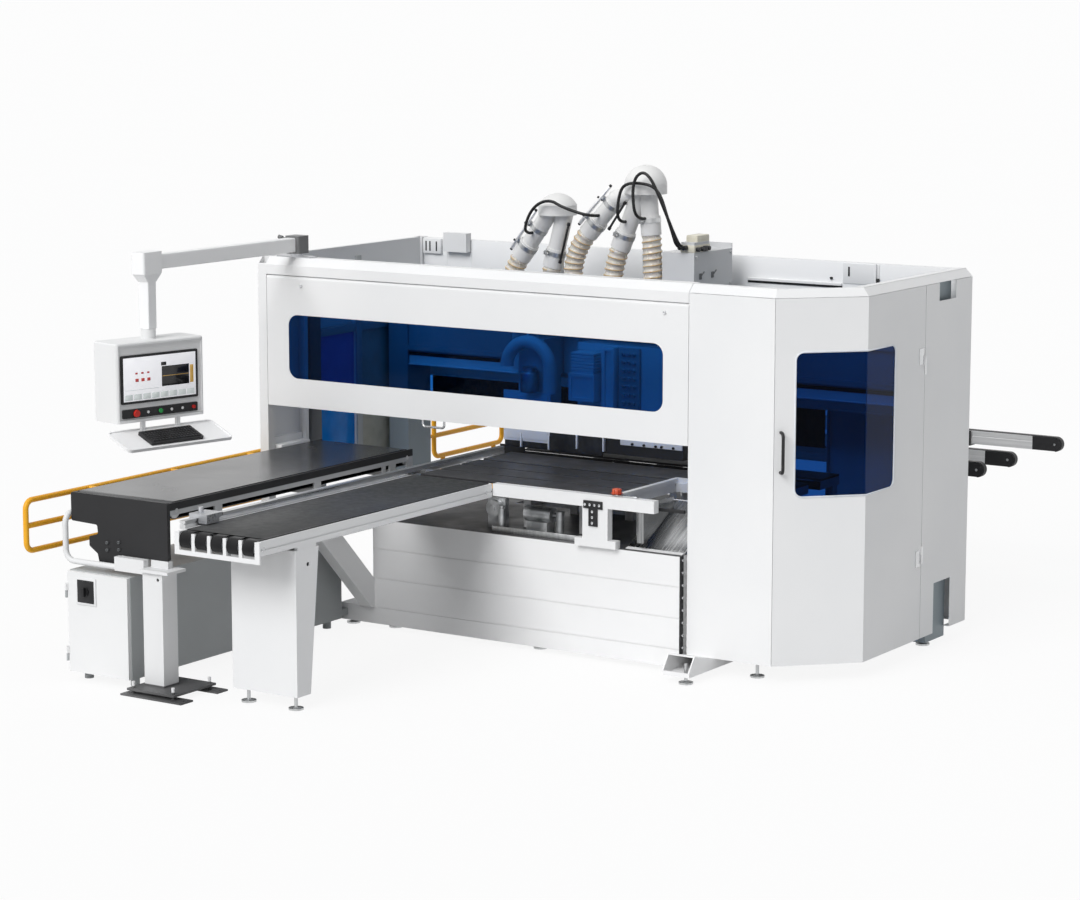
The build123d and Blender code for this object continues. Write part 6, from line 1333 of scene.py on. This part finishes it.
# %% Rear strip curtain
STRIP_LEFT, STRIP_WIDTH, STRIP_PITCH, STRIP_COUNT = -2.860, 0.0600, 0.0604, 47
strip = slab("rear_strips", (STRIP_LEFT, STRIP_LEFT + STRIP_WIDTH), (1.6335, 1.6365), (1.030, 1.2615),
             edge=0.0006)
settle(row_of(strip, STRIP_COUNT, STRIP_PITCH), "machine", brush_fibre)
print("strips under the rear wall:", STRIP_COUNT)

# %% [markdown]
# The pendant's screen shows a plain work view: a pale ground, a dark drawing field, a few coloured marks
# and a row of soft grey keys, with no words. A picture on the screen would be an image texture, so thin
# plates with a faint glow carry the view. They are laid out on the pendant's own axes: along its face,
# out of its face and up.

# %% Pendant screen
PENDANT = Matrix.Translation(spot(-2.740, -1.266, 0.0)) @ Matrix.Rotation(math.radians(77.0), 4, "Z")
SCREEN_FACE, SCREEN_PLATE = -0.106, 0.0008


def lit(name, dark, light, glow):
    """A screen colour with a faint glow of its own."""
    material, tree, shader = new_finish(name, roughness=0.12)
    colour = tint(tree, grain(tree, 24.0, detail=2.0), dark, light)
    tree.links.new(colour, shader.inputs["Base Color"])
    tree.links.new(colour, shader.inputs["Emission Color"])
    shader.inputs["Emission Strength"].default_value = glow
    return material


def screen_plate(name, across, up, rise):
    """A thin plate on the screen between limits across and up."""
    front = SCREEN_FACE - rise
    return slab(name, across, (front, front + SCREEN_PLATE), up, edge=0.0002, base=PENDANT)


screen_pale = lit("screen_pale", (0.80, 0.80, 0.83), (0.86, 0.86, 0.88), glow=0.35)
screen_dark = lit("screen_dark", (0.006, 0.006, 0.007), (0.012, 0.012, 0.014), glow=0.0)
screen_grey = lit("screen_grey", (0.62, 0.67, 0.66), (0.70, 0.74, 0.73), glow=0.2)
screen_red = lit("screen_red", (0.46, 0.03, 0.03), (0.58, 0.06, 0.05), glow=0.1)
screen_amber = lit("screen_amber", (0.62, 0.36, 0.07), (0.72, 0.44, 0.10), glow=0.1)
VIEW = {
    "screen_ground": ((-0.252, 0.242), (1.474, 1.716), 0.0009, screen_pale),
    "screen_field": ((0.008, 0.196), (1.540, 1.652), 0.0014, screen_dark),
    "screen_tab": ((0.004, 0.040), (1.656, 1.676), 0.0014, screen_dark),
    "screen_line": ((0.012, 0.192), (1.596, 1.5985), 0.0018, screen_amber),
    "screen_gauge": ((0.202, 0.226), (1.545, 1.645), 0.0014, screen_amber),
    "screen_rule": ((-0.240, -0.012), (1.534, 1.537), 0.0014, screen_grey),
}
for name, (across, up, rise, finish) in VIEW.items():
    settle(screen_plate(name, across, up, rise), "pendant", finish)
print("screen view of", len(VIEW), "plates")

# %% [markdown]
# Two short rows of red marks, a row of soft keys and three pale lamps on the button strip complete the
# pendant's face. They could be placed one by one, but within a row they are all alike, so lists of places
# make them, and each row is joined into one piece.

# %% Screen marks, soft keys and lamps
ROW_RISE = 0.0016
MARKS = (-0.172, -0.132, -0.092)
SOFT_LEFT, SOFT_STEP, SOFT_WIDTH, SOFT_COUNT = -0.244, 0.0605, 0.052, 8
MARK_ROWS = ((0.022, (1.580, 1.598)), (0.016, (1.622, 1.632)))
for row, (width, up) in enumerate(MARK_ROWS):
    marks = [screen_plate("mark", (x, x + width), up, ROW_RISE) for x in MARKS]
    settle(joined(f"screen_marks_{row}", marks), "pendant", screen_red)
key_starts = [SOFT_LEFT + SOFT_STEP * step for step in range(SOFT_COUNT)]
keys = [screen_plate("soft_key", (x, x + SOFT_WIDTH), (1.480, 1.512), ROW_RISE) for x in key_starts]
settle(joined("screen_keys", keys), "pendant", screen_grey)
lamps = [bar("strip_lamp", (x, -0.1085, 1.406), (x, -0.112, 1.406), radius=0.008, sides=18, edge=0.001,
             base=PENDANT) for x in (-0.090, 0.070, 0.145)]
settle(joined("strip_lamps", lamps), "pendant", pendant_coat)
print("soft keys", len(keys), "lamps", len(lamps))

# %% [markdown]
# The keyboard gets its keys. A grid cut into the slab would give flat tiles, so one key is a block whose
# top is drawn in and dished, as real key caps are. It is copied in rows over the CAD slab, on the axes of
# the sloping tray.

# %% Keyboard keys
TRAY = PENDANT @ Matrix.Translation((0.0, -0.185, 1.262)) @ Matrix.Rotation(math.radians(20.0), 4, "X")
KEY_STEP, KEY_HALF, KEY_HEIGHT, KEY_TOP = 0.0205, 0.0086, 0.007, 0.0302
KEY_ROWS, KEY_COLUMNS = 6, 16
KEYS_X, KEYS_Y = -0.010 - KEY_STEP * (KEY_COLUMNS - 1) / 2, -0.014 - KEY_STEP * (KEY_ROWS - 1) / 2
key = raw_slab("key_cap", (-KEY_HALF, KEY_HALF), (-KEY_HALF, KEY_HALF), (0.0, KEY_HEIGHT), base=FLAT)
pick(key, facing(UP))
bpy.ops.transform.resize(value=(0.78, 0.78, 1.0))
bpy.ops.mesh.inset(thickness=0.0012)
bpy.ops.transform.translate(value=(0, 0, -0.0006))
done()
key_places = [(KEYS_X + KEY_STEP * column, KEYS_Y + KEY_STEP * line, KEY_TOP)
              for line in range(KEY_ROWS) for column in range(KEY_COLUMNS)]
caps = [copy_at(key, TRAY @ Vector(place), TRAY.to_quaternion()) for place in key_places]
bpy.data.objects.remove(key)
settle(joined("keyboard_keys", caps), "pendant", key_plastic)
print("keys", len(caps))

# %% [markdown]
# The main switch turns in front of a black square plate with a pale border. A material split would have no
# edge to catch the light, so border and plate are two eased blocks, one on the other.

# %% Switch plate
SWITCH_X, SWITCH_Z = -2.581, 0.508
SWITCH_PIECES = (("switch_border", 0.070, 0.075, (-2.0065, -2.0005), 0.002, "white_panel", white_coat),
                 ("switch_plate", 0.058, 0.062, (-2.0105, -2.0066), 0.0015, "key_black", black_plastic))
for name, half_width, half_height, depth, edge, slot, finish in SWITCH_PIECES:
    plate = slab(name, (SWITCH_X - half_width, SWITCH_X + half_width), depth,
                 (SWITCH_Z - half_height, SWITCH_Z + half_height), edge)
    settle(plate, "electrical_door", finish)
print("switch plate made")

# %% [markdown]
# The last fittings are small: screws on the conveyor's end cover and on the hood, hinge leaves on the
# corner door and a rubber bumper on the pusher. Their places could be typed as bare numbers, but each sits
# on a CAD face, so that face gives its place.

# %% Screws, hinge leaves and bumper
COVER_LEFT, COVER_FACE = limits("conveyor_frame")[0][0], limits("conveyor_end_cover")[1][0]
COVER_SCREWS = ((0.262, 0.736), (0.262, 0.776), (0.345, 0.746), (0.345, 0.786))
HOOD_FACE = limits("hood_cover")[1][0]
DOOR_SIDE = limits("cabinet_end_panel")[0][1]
PUSHER_NOSE = limits("pusher")[1][1]
LEAF_HEIGHT = 0.092
screws("cover_screws", [(COVER_LEFT + x, COVER_FACE, z) for x, z in COVER_SCREWS], FRONT, "machine",
       drive_coat, radius=0.009)
leaves = [slab("hinge_leaf", (DOOR_SIDE + 0.0003, DOOR_SIDE + 0.0038), (0.988, 1.042), (z, z + LEAF_HEIGHT),
               edge=0.001) for z in (0.520, 1.662)]
settle(joined("door_hinge_leaves", leaves), "cabinet_door", bright_bar)
screws("hood_screws", [(x, HOOD_FACE, 1.985) for x in (-2.647, -0.153)], FRONT, "hood",
       bright_bar, radius=0.009)
bumper = slab("pusher_bumper", (-1.792, -1.752), (PUSHER_NOSE + FIT, PUSHER_NOSE + 0.008), (0.986, 1.004))
settle(bumper, "pusher", black_plastic)
print("small fittings made")

# %% [markdown]
# A pale rubber seal edges the door's window, which wraps round the cabinet's corner. A bevel on the window
# itself would change the CAD node, so the seal is its own piece. Its line starts as one point that is
# extruded from corner to corner and closed. The four outer corners are rounded, and the line is turned
# into a curve for its thickness and back into a mesh.

# %% Door window seal
seal_rubber = moulded("seal_rubber", (0.70, 0.73, 0.77), (0.78, 0.80, 0.83), rough=(0.4, 0.5), pebble=0.1)
SLANT = 0.115 * math.sqrt(0.5)
LEFT_EDGE, CORNER, REAR_EDGE = (0.532 + SLANT, SLANT), (DOOR_SIDE, 0.365), (DOOR_SIDE, 0.695)
SILL, HEAD = 1.025, 1.810
SEAL_RADIUS, SEAL_ROUND, SEAL_WELD = 0.005, 0.045, 0.0005
OFF_CORNER = 0.1
seal_corners = [spot(*edge, SILL) for edge in (LEFT_EDGE, CORNER, REAR_EDGE)]
seal_corners += [spot(*edge, HEAD) for edge in (REAR_EDGE, CORNER, LEFT_EDGE)]
seal = lone_point("door_window_seal", seal_corners[0])
for before, after in zip(seal_corners, seal_corners[1:] + seal_corners[:1]):
    draw_out(*(after - before))
bpy.ops.mesh.select_all(action="SELECT")
bpy.ops.mesh.remove_doubles(threshold=SEAL_WELD)
bpy.ops.mesh.select_all(action="DESELECT")
done()
for vertex in seal.data.vertices:
    vertex.select = (vertex.co - spot(*CORNER, vertex.co.z)).length > OFF_CORNER
bpy.ops.object.mode_set(mode="EDIT")
bpy.ops.mesh.bevel(offset=SEAL_ROUND, segments=8, affect="VERTICES")
done()
bpy.ops.object.convert(target="CURVE")
seal.data.bevel_depth = SEAL_RADIUS
seal.data.bevel_resolution = 2
bpy.ops.object.convert(target="MESH")
edit_all(bpy.context.object)
bpy.ops.mesh.normals_make_consistent(inside=False)
done()
settle(bpy.context.object, "cabinet_door", seal_rubber, sharp=60.0)
print("window seal made with", len(bpy.context.object.data.polygons), "faces")

# %% [markdown]
# The infeed deck is one dark sheet between the white rails, and the belts show only at its near end. The
# sheet could be a second finish on the CAD deck, but its edges show, so it is a thin plate over the belts
# with a black trim along its right side.

# %% Infeed deck sheet
SIDE_GAP, BELTS_SHOW, REAR_GAP, SHEET_HEIGHTS = 0.002, 0.075, 0.004, (0.0004, 0.0034)
deck_x, deck_y, deck_z = limits("infeed_deck")
sheet = slab("infeed_sheet", (deck_x[0] + SIDE_GAP, deck_x[1] - SIDE_GAP),
             (deck_y[0] + BELTS_SHOW, deck_y[1] - REAR_GAP), [deck_z[1] + height for height in SHEET_HEIGHTS],
             edge=0.001)
settle(sheet, "machine", deck_laminate)
trim = slab("deck_trim", (-1.264, -1.252), (-2.170, -0.092), (0.9482, 0.9545), edge=0.001)
settle(trim, "machine", black_plastic)
print("deck sheet laid")

# %% [markdown]
# The floor is plain and pale. A floor that is only white would need much light, so, seen by the camera, it
# is lifted towards white, as a studio floor is, and it still takes the machine's soft shadow.

# %% Floor
deselect()
bpy.ops.mesh.primitive_plane_add(size=1600.0, location=(0.0, 0.0, -0.0005))
floor = bpy.context.object
floor.name = "floor"
floor_coat, floor_tree, floor_shader = new_finish("floor_coat", roughness=0.9)
paint(floor_tree, floor_shader, grain(floor_tree, 0.4, detail=2.0), (0.80, 0.80, 0.80), (0.82, 0.82, 0.82))
seen_as_white(floor_tree, floor_shader.outputs["BSDF"], floor_tree.nodes["Material Output"], share=0.90)
floor.data.materials.append(floor_coat)
print("floor laid")
